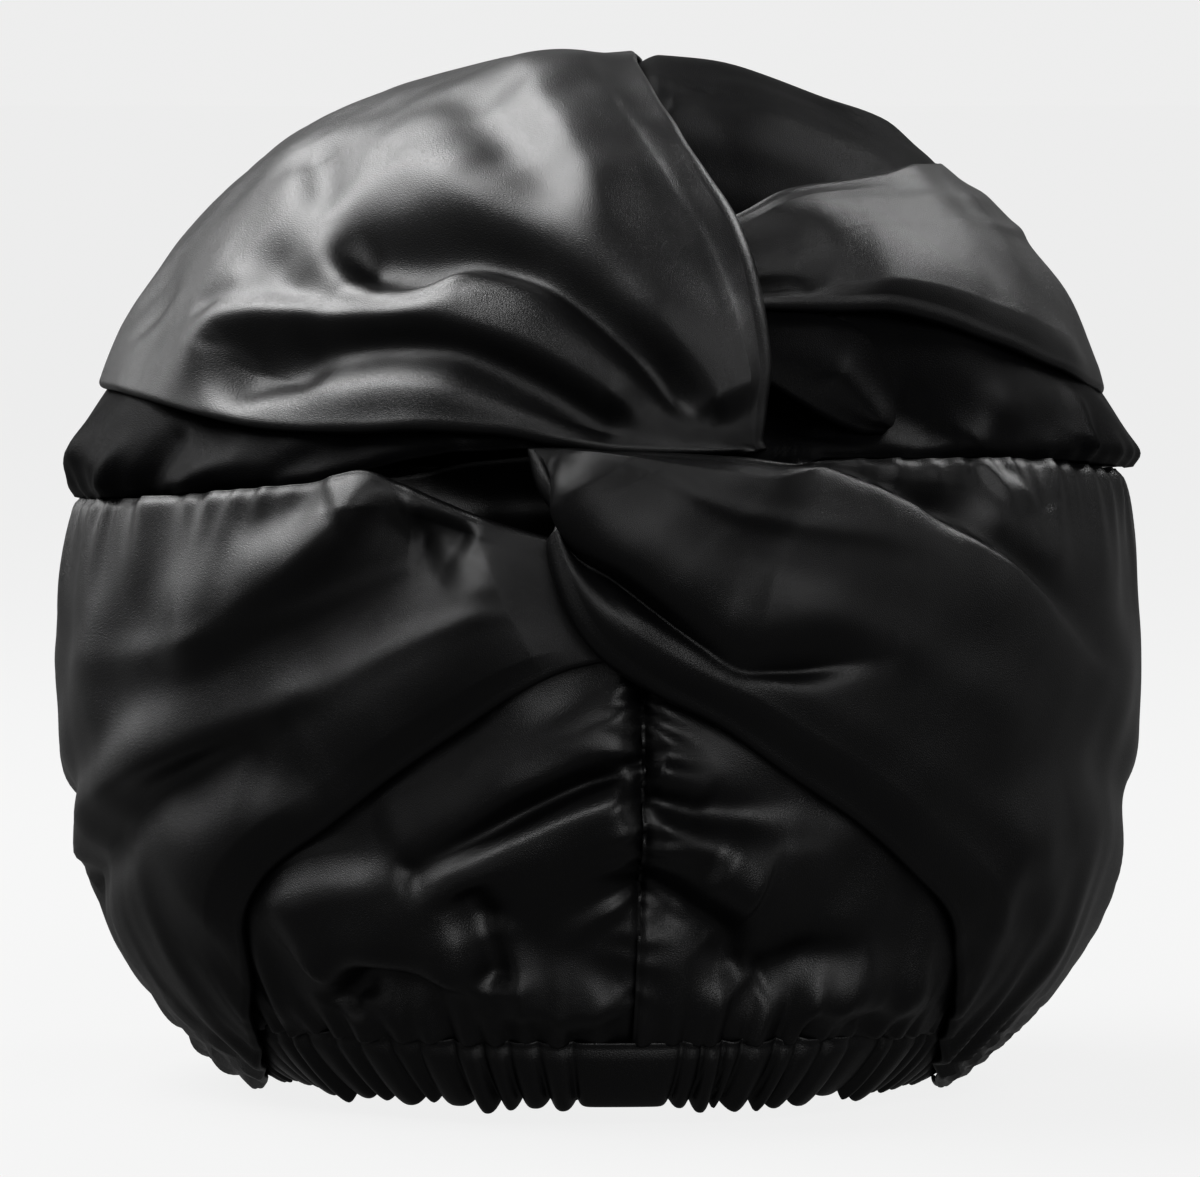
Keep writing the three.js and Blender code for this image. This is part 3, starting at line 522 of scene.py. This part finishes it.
def first_met(across, rise):
    """Where the eye first meets the form, at millimetres across and up from the view's middle."""
    eye = LOOK_AT + EYE_DISTANCE * np.array([0.0, -math.cos(EYE_LIFT), math.sin(EYE_LIFT)])
    aim = LOOK_AT + across[:, None] * VIEW_RIGHT + rise[:, None] * VIEW_UP
    reach = np.linspace(0.93, 1.03, 900)
    sight = eye + reach[None, :, None] * (aim - eye)[:, None, :]
    out = outside_form(sight)
    first = np.where((out <= 0).any(1), (out <= 0).argmax(1), out.argmin(1))
    return onto_form(sight[np.arange(len(across)), first])


def seen_from_front(line, lift):
    """Points on the form under those places of the front view, for cloth that lies a lift above it."""
    line = np.asarray(line, float)
    across = (line[:, 0] - VIEW_MIDDLE[0]) / VIEW_SCALE
    rise = (VIEW_MIDDLE[1] - line[:, 1]) / VIEW_SCALE
    raised = lift * form_normal(first_met(across, rise))
    return first_met(across - raised @ VIEW_RIGHT, rise - raised @ VIEW_UP)


def crest_curve(fold, lift):
    """A fold's crest as a close run of points on the form."""
    if fold.kind == VIEW:
        knots = seen_from_front(fold.line, lift)
    else:
        line = np.array(fold.line, float)
        knots = form_point(line[:, 0], line[:, 1])
    places = np.linspace(0, len(knots) - 1, 6 * len(knots))
    return onto_form(np.stack([smooth_between(knots[:, k], places) for k in range(3)], axis=1))


def one_fold(points, normals, fold, above):
    """What one fold does to points on the form: a lift, and a shift along the form."""
    lift = np.zeros(len(points))
    shift = np.zeros(points.shape)
    curve = crest_curve(fold, above)
    start = curve[:-1]
    run = curve[1:] - start
    run_length = np.linalg.norm(run, axis=1)
    travelled = np.concatenate([[0], np.cumsum(run_length)])
    reach = FOLD_REACH * max(fold.soft + fold.steep)
    close = np.all((points > curve.min(0) - reach) & (points < curve.max(0) + reach), axis=1)
    if not close.any():
        return lift, shift
    near = points[close]
    share = np.einsum("nmk,mk->nm", near[:, None, :] - start[None], run) / run_length ** 2
    share = np.clip(share, 0, 1)
    foot = start[None] + share[..., None] * run[None]
    gap = np.linalg.norm(near[:, None, :] - foot, axis=2)
    pick = gap.argmin(1)
    rows = np.arange(len(near))
    distance = gap[rows, pick]
    side = np.cross(unit(run[pick]), normals[close])
    lean = ((near - foot[rows, pick]) * side).sum(1) / np.maximum(distance, 0.05)
    u = (travelled[pick] + share[rows, pick] * run_length[pick]) / travelled[-1]
    rise, soft, steep, lap = (pair[0] + (pair[1] - pair[0]) * u for pair in fold[2:6])
    level = 1.0
    for from_end, fade in zip((u, 1 - u), fold.fade):
        if fade > 0:
            level = level * (FADED_LEVEL + (1 - FADED_LEVEL) * soft_step(0, fade, from_end))
    width = soft + (steep - soft) * soft_step(-1, 1, lean)
    lift[close] = rise * level * np.exp(-(distance / width) ** 2)
    shift[close] = side * (lap * level * np.exp(-(distance / (LAP_REACH * steep)) ** 2))[:, None]
    return lift, shift


def fold_shift(points, normals, folds, above):
    """What folds and hollows do to points on the form, for cloth that usually lies that far above it."""
    flat = points.reshape(-1, 3)
    flat_normals = normals.reshape(-1, 3)
    lift = np.zeros(len(flat))
    shift = np.zeros(flat.shape)
    for item in folds:
        if isinstance(item, Hollow):
            left = np.ones(len(flat))
            for fold in item.folds:
                left = left * (1 - one_fold(flat, flat_normals, fold, above)[0])
            lift -= item.depth * (1 - left)
        else:
            fold_lift, fold_slide = one_fold(flat, flat_normals, item, above)
            lift += fold_lift
            shift += fold_slide
    return lift.reshape(points.shape[:-1]), shift.reshape(points.shape)


def crumple(points, seed, size):
    """Slow, shallow unevenness of soft cloth, about one at its strongest."""
    rng = np.random.default_rng(seed)
    total = np.zeros(points.shape[:-1])
    for _ in range(CRUMPLE_WAVES):
        way = unit(rng.normal(size=3))
        length = size * rng.uniform(0.5, 1.7)
        total += length * np.sin(points @ way * (2 * math.pi / length) + rng.uniform(0, FULL_TURN))
    return total / (size * 5)


def gathers(angle, away, seed, kind):
    """Small folds of a kind that run away from a gathered seam, at millimetres away from it."""
    spacing, amount, length = kind
    rng = np.random.default_rng(seed)
    total = np.zeros(angle.shape)
    place = -180.0
    while place < 180.0:
        place += spacing * rng.uniform(0.6, 1.4)
        strength = amount * rng.uniform(0.35, 1.0)
        run = length * rng.uniform(0.4, 1.3)
        width = spacing * rng.uniform(0.25, 0.42)
        slant = rng.uniform(-0.12, 0.12)
        off = (angle - place - slant * away) / (width * (1 + 0.6 * np.clip(away / run, 0, 3)))
        total += strength * np.exp(-off ** 2) * np.exp(-np.clip(away / run, 0, 9) ** 1.5)
    return np.where(away > -1.0, total - 0.35 * amount * np.exp(-np.clip(away / length, 0, 9)), 0)


def hem_pleats():
    """The hem's creases, an angle and a slant each, and its lobes, a swell and a squareness each."""
    rng = np.random.default_rng(31)
    creases = [(-180.0, 0.0)]
    lobes = []
    while creases[-1][0] < 174.0:
        place = creases[-1][0] + rng.uniform(2.6, 5.6)
        if creases[-1][0] < JOIN_ANGLES[0] <= place:
            creases.append((JOIN_ANGLES[0], 0.0))
            lobes.append((rng.uniform(0.6, 1.2), 2.4))
            creases.append((JOIN_ANGLES[1], 0.0))
            lobes.append((0.8, 14.0))
        else:
            creases.append((place, rng.uniform(-1.2, 1.2)))
            lobes.append((rng.uniform(0.6, 1.5), rng.uniform(1.8, 3.0)))
    creases.append((180.0, 0.0))
    lobes.append((0.8, 2.4))
    return np.array(creases), np.array(lobes)


def hem_ruffle(angle, drop):
    """The in and out of the hem's lobes. Drop is nought at the stitching and one at the edge."""
    creases, lobes = hem_pleats()
    edge = creases[:, 0] + creases[:, 1] * drop
    turn = (np.asarray(angle, float) + 180) % 360 - 180
    slot = np.clip(np.searchsorted(edge, turn) - 1, 0, len(lobes) - 1)
    share = np.clip((turn - edge[slot]) / (edge[slot + 1] - edge[slot]), 0, 1)
    return lobes[slot, 0] * (1 - np.abs(2 * share - 1) ** lobes[slot, 1]) - 0.45


def hem_waves(angle, above):
    """The hem's lobes as they die out in the cloth above its stitching."""
    return 1.3 * hem_ruffle(angle, 0.0) * np.exp(-above / 6)


def sheet_mesh(name, grid, wrapped=False):
    """A mesh of four-sided faces from a grid of points in millimetres, with one unit of map per metre."""
    columns, rows = grid.shape[:2]
    index = np.arange(columns * rows).reshape(columns, rows)
    ahead = np.roll(index, -1, axis=0) if wrapped else index[1:]
    here = index if wrapped else index[:-1]
    faces = np.stack([here[:, :-1], ahead[:, :-1], ahead[:, 1:], here[:, 1:]], axis=-1).reshape(-1, 4)
    points = grid.reshape(-1, 3) * MM
    corner = points[faces]
    turned = np.cross(corner[:, 1] - corner[:, 0], corner[:, 3] - corner[:, 0])
    outward = (turned * (corner.mean(1) - CENTRE * MM)).sum()
    if outward < 0:
        faces = faces[:, ::-1]
    mesh = bpy.data.meshes.new(name)
    mesh.from_pydata(points.tolist(), [], faces.tolist())
    mesh.polygons.foreach_set("use_smooth", np.ones(len(faces), bool))
    step_along = np.linalg.norm(np.diff(grid, axis=0), axis=2).mean(1)
    step_across = np.linalg.norm(np.diff(grid, axis=1), axis=2).mean(0)
    u = np.concatenate([[0], np.cumsum(step_along)]) * MM
    v = np.concatenate([[0], np.cumsum(step_across)]) * MM
    uv = np.stack(np.broadcast_arrays(u[:, None], v[None, :]), axis=-1).reshape(-1, 2)
    layer = mesh.uv_layers.new(name="weave")
    layer.data.foreach_set("uv", uv[faces.reshape(-1)].reshape(-1))
    mesh.update()
    piece = bpy.data.objects.new(name, mesh)
    bpy.context.scene.collection.objects.link(piece)
    return piece


def thicken(piece):
    """Gives a sheet its cloth thickness, inwards."""
    solid = piece.modifiers.new("cloth", "SOLIDIFY")
    solid.thickness = CLOTH * MM
    solid.offset = -1
    solid.use_rim = True


def rolled_edge(grid, normals, radius, at_start):
    """Rows that turn the cloth under along one edge, by a radius for each column."""
    edge = grid[:, 0] if at_start else grid[:, -1]
    inner = grid[:, 2] if at_start else grid[:, -3]
    normal = normals[:, 0] if at_start else normals[:, -1]
    away = edge - inner
    away = unit(away - normal * (away * normal).sum(1, keepdims=True))
    rows = []
    for turn in np.linspace(0, math.pi * 0.97, 11)[1:]:
        rows.append(edge + away * (ROLL_STRETCH * radius * math.sin(turn))[:, None]
                    - normal * (radius * (1 - math.cos(turn)))[:, None])
    rows = np.stack(rows, axis=1)
    return rows[:, ::-1] if at_start else rows


def flowing_folds(share, across, seed, count, amount):
    """Long shallow folds that run with a drape. Share goes along it and across from edge to edge."""
    rng = np.random.default_rng(seed)
    total = np.zeros(np.broadcast(share, across).shape)
    for k in range(count):
        start = (k + rng.uniform(0.2, 0.8)) / count
        drift = 0.05 * np.sin(rng.uniform(3, 9) * share + rng.uniform(0, FULL_TURN))
        width = rng.uniform(0.022, 0.05) * (1 + 0.8 * share)
        strength = amount * rng.uniform(0.5, 1.2)
        wave = np.sin(rng.uniform(5, 13) * share + rng.uniform(0, FULL_TURN))
        strength = strength * (0.55 + 0.45 * wave)
        total = total + strength * np.exp(-((across - start - drift) / width) ** 2)
    return total


def drape(name, stations, folds, swell, seed, front, rows, flow, seams=()):
    """One drape of the twist: its rails, lifts, folds, gathers and rolled edges, finer at its front."""
    last = len(stations) - 1
    ahead = np.linspace(0, front, FRONT_COLUMNS * front + 1)
    behind = np.linspace(front, last, BACK_COLUMNS * (last - front) + 1)
    places = np.concatenate([ahead, behind[1:]])
    column = {}
    for key in Station._fields:
        column[key] = smooth_between([getattr(station, key) for station in stations], places)
    first = form_point(column["angle"], column["height"])
    second = form_point(column["angle2"], column["height2"])
    cross = np.linspace(0, 1, rows)
    length = np.maximum(np.linalg.norm(second - first, axis=1), 1)
    tuck = np.minimum(0.4, ROLL_STRETCH * column["roll"] / length)
    tuck2 = np.minimum(0.4, ROLL_STRETCH * column["roll2"] / length)
    across = tuck[:, None] + (1 - tuck - tuck2)[:, None] * cross[None]
    base = onto_form(first[:, None] + (second - first)[:, None] * across[..., None])
    normal = form_normal(base)
    share = places / places[-1]
    ends = np.minimum(1, 12 * share) * np.minimum(1, 14 * (1 - share))
    rise = (column["lift2"] - column["lift"])[:, None] * soft_step(0, 1, cross)[None]
    seat = column["lift"][:, None] + rise
    full = swell * ends[:, None] * (1 - np.abs(2 * cross - 1) ** 3)[None]
    lift, shift = fold_shift(base, normal, folds, DRAPE_LIFT)
    inside = np.minimum(1, 10 * cross) * np.minimum(1, 10 * (1 - cross))
    lift = lift * ends[:, None] * (0.35 + 0.65 * inside)[None]
    shift = shift * (ends[:, None] * inside[None])[..., None]
    height = seat + full + lift + 0.4 * ends[:, None] * crumple(base, seed, 24)
    calm = ends * soft_step(20, 60, length)
    flowing = flowing_folds(share[:, None], across, seed + 50, *flow)
    height = height + calm[:, None] * inside[None] * flowing
    angle, level = form_angle(base)
    behind_ears = soft_step(88, 112, np.abs(angle))
    if "waist" in seams:
        away = waist_at(angle, "height") - level
        sewn = soft_step(24, 32, np.abs(angle))
        height = height + sewn * gathers(angle, away, seed + 5, WAIST_GATHERS)
        height = height + behind_ears * gathers(angle, away, seed + 15, WAIST_BACK_GATHERS)
        height = height - SEAM_DEPTH * sewn * np.exp(-(np.clip(away, 0, 50) / SEAM_WIDTH) ** 2)
    if "hem" in seams:
        above = np.clip(level - HEM_TOP, 0, 200)
        height = height + hem_waves(angle, above)
        height = height + gathers(angle, above, seed + 9, HEM_GATHERS)
        height = height + behind_ears * gathers(angle, above, seed + 19, HEM_BACK_GATHERS)
    grid = base + normal * height[..., None] + shift
    start_roll = rolled_edge(grid, normal, column["roll"], True)
    end_roll = rolled_edge(grid, normal, column["roll2"], False)
    return sheet_mesh(name, np.concatenate([start_roll, grid, end_roll], axis=1))


def make_crown(columns, rows):
    """The base dome above the waist seam, gathered into the seam and tucked in behind the knot."""
    angle = np.linspace(-180, 180, columns, endpoint=False)
    seam = waist_at(angle, "height") - 0.4
    foot = seam - TUCK_DROP * soft_step(-8, 1, angle) * soft_step(25, 17, angle)
    step = np.linspace(0, 1, rows) ** 1.35
    rise = 1 - (1 - step * 0.992) ** 2
    level = foot[:, None] + (TOP_HEIGHT - foot)[:, None] * rise[None]
    wide = angle[:, None] + 0 * level
    base = form_point(wide, level)
    normal = form_normal(base)
    above = np.maximum(level - seam[:, None], 0)
    below = np.maximum(seam[:, None] - level, 0)
    # The top stands out at the right, and the left lies low under the upper drape.
    right = soft_step(3, 13, base[..., 0]) * (1 - 0.35 * soft_step(30, 60, base[..., 0]))
    lift = 1.2 + (4.8 * right - 2) * soft_step(188, 211, level)
    lift = lift + waist_at(wide, "rim") * np.exp(-(above / 6) ** 2)
    covered = soft_step(152, 166, level) * soft_step(222, 210, level)
    lift = lift - 6 * covered * soft_step(10, 0, wide) * soft_step(-168, -150, wide)
    past = above - waist_at(wide, "rise")
    lift = lift + waist_at(wide, "swell") * np.exp(-(past / np.where(past > 0, 16, 7)) ** 2)
    gathered = gathers(wide, above, 71, CROWN_GATHERS)
    lift = lift + gathered * soft_step(TOP_HEIGHT, TOP_HEIGHT - 40, level)
    lift = lift - SEAM_DEPTH * np.exp(-(above / SEAM_WIDTH) ** 2)
    lift = lift + TUCK_BULGE * soft_step(0, 3.5, below) - TUCK_TURN_IN * soft_step(5.5, TUCK_DROP, below)
    folded, shift = fold_shift(base, normal, CROWN_FOLDS, CROWN_LIFT)
    lift = lift + folded + 0.5 * crumple(base, 17, 26)
    grid = base + normal * lift[..., None] + shift
    return sheet_mesh("crown_cloth", grid, wrapped=True)


def make_panel(name, seam_angle, far_angle, columns, rows, seed):
    """One side of the insert below the knot, ruched along the seam in its middle."""
    angle = seam_angle + (far_angle - seam_angle) * np.linspace(0, 1, columns) ** 1.2
    head = waist_at(angle, "height") - 0.2
    level = HEM_TOP - 3 + (head - HEM_TOP + 3)[:, None] * np.linspace(0, 1, rows)[None] ** 1.15
    wide = angle[:, None] + 0 * level
    base = form_point(wide, level)
    normal = form_normal(base)
    lift, shift = fold_shift(base, normal, PANEL_FOLDS, PANEL_LIFT)
    above = level - HEM_TOP
    lift = lift * soft_step(0, 8, above)
    lift = lift + 1.4 + hem_waves(wide, above)
    lift = lift + gathers(wide, above, seed, PANEL_GATHERS)
    from_seam = np.abs(wide - PANEL_SEAM_ANGLE) * MM_PER_DEGREE_AT_SEAM
    drawn_in = 3.2 * np.exp(-(from_seam / 3.0) ** 2) * soft_step(40, 70, level)
    lift = lift - drawn_in - SEAM_DEPTH * np.exp(-from_seam ** 2)
    lift = lift + ruching(level, from_seam, seed + 3)
    lift = lift + 0.5 * crumple(base, seed + 7, 20)
    lift = lift + (0.2 - lift) * soft_step(0.5, -1.5, above)
    return sheet_mesh(name, base + normal * lift[..., None] + shift)


def ruching(level, from_seam, seed):
    """Short creases that run out from the ruched seam."""
    rng = np.random.default_rng(seed)
    total = np.zeros(level.shape)
    place = 22.0
    while place < 92.0:
        place += rng.uniform(3.2, 6.0)
        tight = 1.0 if place > 46 else 0.3
        run = rng.uniform(5, 15)
        slope = rng.uniform(-0.7, 0.25)
        off = (level - place - slope * from_seam) / (1.2 + 0.14 * from_seam)
        total += tight * rng.uniform(1.2, 2.4) * np.exp(-off ** 2) * np.exp(-(from_seam / run) ** 2)
    return total


def make_hem(columns):
    """The ruffled casing: a flat tube of cloth round the elastic, scalloped along its lower edge."""
    angle = np.linspace(-180, 180, columns, endpoint=False)
    foot = HEM_BOTTOM - 0.9 * hem_ruffle(angle, 1.0)
    rows = []
    for turn in np.linspace(0, 2 * math.pi, 34):
        up = (1 - math.cos(turn)) / 2
        level = foot + (HEM_TOP + 0.6 - foot) * up
        base = form_point(angle, level)
        normal = form_normal(base)
        pinch = 1 - 0.75 * math.exp(-((up - 0.93) / 0.05) ** 2)
        open_front = 1 + 0.5 * soft_step(54, 44, np.abs(angle)) * (1 - up)
        casing = 1.2 + 1.5 * math.sin(turn) * pinch
        lift = casing + 1.8 * open_front * hem_ruffle(angle, 1 - up) * (1.05 - 0.4 * up)
        rows.append(base + normal * lift[:, None])
    return sheet_mesh("hem_cloth", np.stack(rows, axis=1), wrapped=True)


def satin(name, gloss):
    """Black satin: a dark ground, a broad gloss of a given strength and a fine slanted grain."""
    material = bpy.data.materials.new(name)
    material.use_nodes = True
    nodes = material.node_tree.nodes
    links = material.node_tree.links
    shader = nodes["Principled BSDF"]
    shader.inputs["Base Color"].default_value = (0.0009, 0.0009, 0.001, 1)
    shader.inputs["Roughness"].default_value = 0.36
    shader.inputs["IOR"].default_value = 1.45
    shader.inputs["Specular IOR Level"].default_value = gloss
    place = nodes.new("ShaderNodeUVMap")
    place.uv_map = "weave"
    slant = nodes.new("ShaderNodeMapping")
    slant.vector_type = "TEXTURE"
    slant.inputs["Rotation"].default_value = (0, 0, 0.7)
    slant.inputs["Scale"].default_value = (1, 0.6, 1)
    links.new(place.outputs["UV"], slant.inputs["Vector"])
    grain = nodes.new("ShaderNodeTexNoise")
    grain.inputs["Scale"].default_value = 2600
    grain.inputs["Detail"].default_value = 1
    grain.inputs["Roughness"].default_value = 0.7
    links.new(slant.outputs["Vector"], grain.inputs["Vector"])
    bump = nodes.new("ShaderNodeBump")
    bump.inputs["Strength"].default_value = 0.5
    bump.inputs["Distance"].default_value = 0.00022
    links.new(grain.outputs["Fac"], bump.inputs["Height"])
    links.new(bump.outputs["Normal"], shader.inputs["Normal"])
    return material


def pale_floor():
    """A floor that is pale by its own soft light, so that it needs no lamp."""
    material = bpy.data.materials.new("pale_floor")
    material.use_nodes = True
    shader = material.node_tree.nodes["Principled BSDF"]
    shader.inputs["Base Color"].default_value = (0.012, 0.012, 0.012, 1)
    shader.inputs["Roughness"].default_value = 1.0
    shader.inputs["Specular IOR Level"].default_value = 0.0
    shader.inputs["Emission Color"].default_value = (1, 1, 1, 1)
    shader.inputs["Emission Strength"].default_value = 0.87
    return material


def area_light(light):
    """A soft box that points at its aim, turned about the upright by an angle."""
    data = bpy.data.lights.new(light.name, "AREA")
    data.shape = "RECTANGLE"
    data.size = light.size[0]
    data.size_y = light.size[1]
    data.energy = light.power
    lamp = bpy.data.objects.new(light.name, data)
    lamp.location = light.place
    lamp.rotation_euler = (Vector(light.aim) - Vector(light.place)).to_track_quat("-Z", "Y").to_euler()
    lamp.rotation_euler.z += math.radians(light.turn)
    lamp.visible_camera = False
    bpy.context.scene.collection.objects.link(lamp)


def studio_world(backdrop_strength, studio_strength):
    """A white backdrop for the camera, and the dimmer studio round it that the satin mirrors."""
    world = bpy.data.worlds.new("studio")
    world.use_nodes = True
    nodes = world.node_tree.nodes
    links = world.node_tree.links
    backdrop = nodes["Background"]
    studio = nodes.new("ShaderNodeBackground")
    for background, strength in ((backdrop, backdrop_strength), (studio, studio_strength)):
        background.inputs["Color"].default_value = (1, 1, 1, 1)
        background.inputs["Strength"].default_value = strength
    ray = nodes.new("ShaderNodeLightPath")
    choice = nodes.new("ShaderNodeMixShader")
    links.new(ray.outputs["Is Camera Ray"], choice.inputs["Fac"])
    links.new(studio.outputs["Background"], choice.inputs[1])
    links.new(backdrop.outputs["Background"], choice.inputs[2])
    links.new(choice.outputs["Shader"], nodes["World Output"].inputs["Surface"])
    return world


# The pieces of cloth.
left_drape = drape("lower_left_cloth", LOWER_LEFT, LOWER_LEFT_FOLDS, swell=1.6, seed=3, front=10,
                   rows=110, flow=(5, 1.0), seams=("waist", "hem"))
right_drape = drape("lower_right_cloth", LOWER_RIGHT, LOWER_RIGHT_FOLDS, swell=1.6, seed=4, front=13,
                    rows=110, flow=(5, 1.0), seams=("waist", "hem"))
upper_right = drape("upper_right_cloth", UPPER_RIGHT, UPPER_RIGHT_FOLDS, swell=0.4, seed=6, front=8, rows=80,
                    flow=(3, 0.7))
loop_tail = drape("loop_tail_cloth", LOOP_TAIL, LOOP_TAIL_FOLDS, swell=0.6, seed=7, front=7, rows=44,
                  flow=(2, 0.3))
upper_left = drape("upper_left_cloth", UPPER_LEFT, UPPER_LEFT_FOLDS, swell=-1.6, seed=5, front=13, rows=130,
                   flow=(4, 0.35))
crown = make_crown(columns=330, rows=96)
panel_left = make_panel("panel_left_cloth", PANEL_SEAM_ANGLE + PANEL_SEAM_LAP, -PANEL_REACH,
                        columns=130, rows=130, seed=41)
panel_right = make_panel("panel_right_cloth", PANEL_SEAM_ANGLE - PANEL_SEAM_LAP, PANEL_REACH,
                         columns=130, rows=130, seed=43)
hem = make_hem(columns=1080)

# Painted shade: one black satin in three copies that differ only in gloss. The lower pieces get a little
# less gloss than the upper drapes, and the crown and the loop tail almost none, so that they read darker as
# if they lay in shade.
satin_painted_lit = satin("black_satin_painted_lit", 0.20)
satin_painted_shade = satin("black_satin_painted_shade", 0.18)
satin_painted_deep_shade = satin("black_satin_painted_deep_shade", 0.02)
# The crown and the loop tail take the nearly glossless copy as painted shade, and the upper drapes take the
# lit copy.
SATIN_LIT_OR_SHADED = {crown: satin_painted_deep_shade, loop_tail: satin_painted_deep_shade, upper_left: satin_painted_lit, upper_right: satin_painted_lit}
STANDS_FOR = {
    "crown": crown,
    "front_panel_left": panel_left,
    "front_panel_right": panel_right,
    "elastic_hem": hem,
    "lower_left_drape": left_drape,
    "lower_right_drape": right_drape,
    "upper_right_drape": upper_right,
    "loop_tail": loop_tail,
    "upper_left_drape": upper_left,
}
for node, piece in STANDS_FOR.items():
    # Pieces not listed take the shaded copy of the satin, as painted shade.
    piece.data.materials.append(SATIN_LIT_OR_SHADED.get(piece, satin_painted_shade))
    # The hem is a closed casing already.
    if piece is not hem:
        thicken(piece)
    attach(piece, "root")
    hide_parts(node)

# The flat cuts of the cloth: width, length and area in metres, how each is held and what it lies on.
Cut = namedtuple("Cut", "piece width length area held rests_on")

# The floor, which reaches out this many metres each way, the light and the camera.
FLOOR_REACH = 60
floor_mesh = bpy.data.meshes.new("floor")
corners = [(-FLOOR_REACH, -FLOOR_REACH, 0), (FLOOR_REACH, -FLOOR_REACH, 0),
           (FLOOR_REACH, FLOOR_REACH, 0), (-FLOOR_REACH, FLOOR_REACH, 0)]
floor_mesh.from_pydata(corners, [], [(0, 1, 2, 3)])
floor = bpy.data.objects.new("floor", floor_mesh)
floor.location.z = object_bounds()[0][2]
floor.data.materials.append(pale_floor())
bpy.context.scene.collection.objects.link(floor)
floor.visible_glossy = False

bpy.context.scene.world = studio_world(backdrop_strength=0.88, studio_strength=0.36)

# Soft boxes, placed by what the satin mirrors: sizes in metres, power in watts, turn in degrees.
Light = namedtuple("Light", "name place aim size power turn")
LIGHTS = [
    Light("box_left", (-1.05, 0.32, 1.4), (-1.05, 0.32, 0.2), (1.4, 1.8), 185, -15),
    Light("box_right", (1.1, 0.85, 1.4), (1.1, 0.85, 0.2), (0.8, 0.9), 52, 0),
    Light("box_front", (0.7, -1.9, 1.25), (0, 0, 0.1), (1.6, 0.8), 60, 0),
    Light("side_left", (-1.9, 1.2, 0.9), (0, 0, 0.15), (1.6, 1.0), 30, 0),
    Light("side_right", (3.0, -0.2, 0.75), (0, 0, 0.1), (2.0, 1.4), 22, 0),
    Light("front_left", (-2.4, -1.6, 0.6), (0, 0, 0.1), (1.2, 1.0), 15, 0),
    Light("front_fill", (0.8, -3.0, 1.0), (0, 0, 0.1), (3.0, 1.8), 90, 0),
]
for light in LIGHTS:
    area_light(light)

camera_data = bpy.data.cameras.new("camera")
camera_data.lens = SENSOR_WIDTH * EYE_DISTANCE * VIEW_SCALE / (2 * VIEW_MIDDLE[0])
camera_data.sensor_width = SENSOR_WIDTH
camera = bpy.data.objects.new("camera", camera_data)
target = Vector(LOOK_AT * MM)
camera.location = target + Vector((0, -math.cos(EYE_LIFT), math.sin(EYE_LIFT))) * EYE_DISTANCE * MM
camera.rotation_euler = (target - camera.location).to_track_quat("-Z", "Y").to_euler()
bpy.context.scene.collection.objects.link(camera)
bpy.context.scene.camera = camera
bpy.context.scene.view_settings.view_transform = "Standard"
bpy.context.scene.view_settings.gamma = 0.8
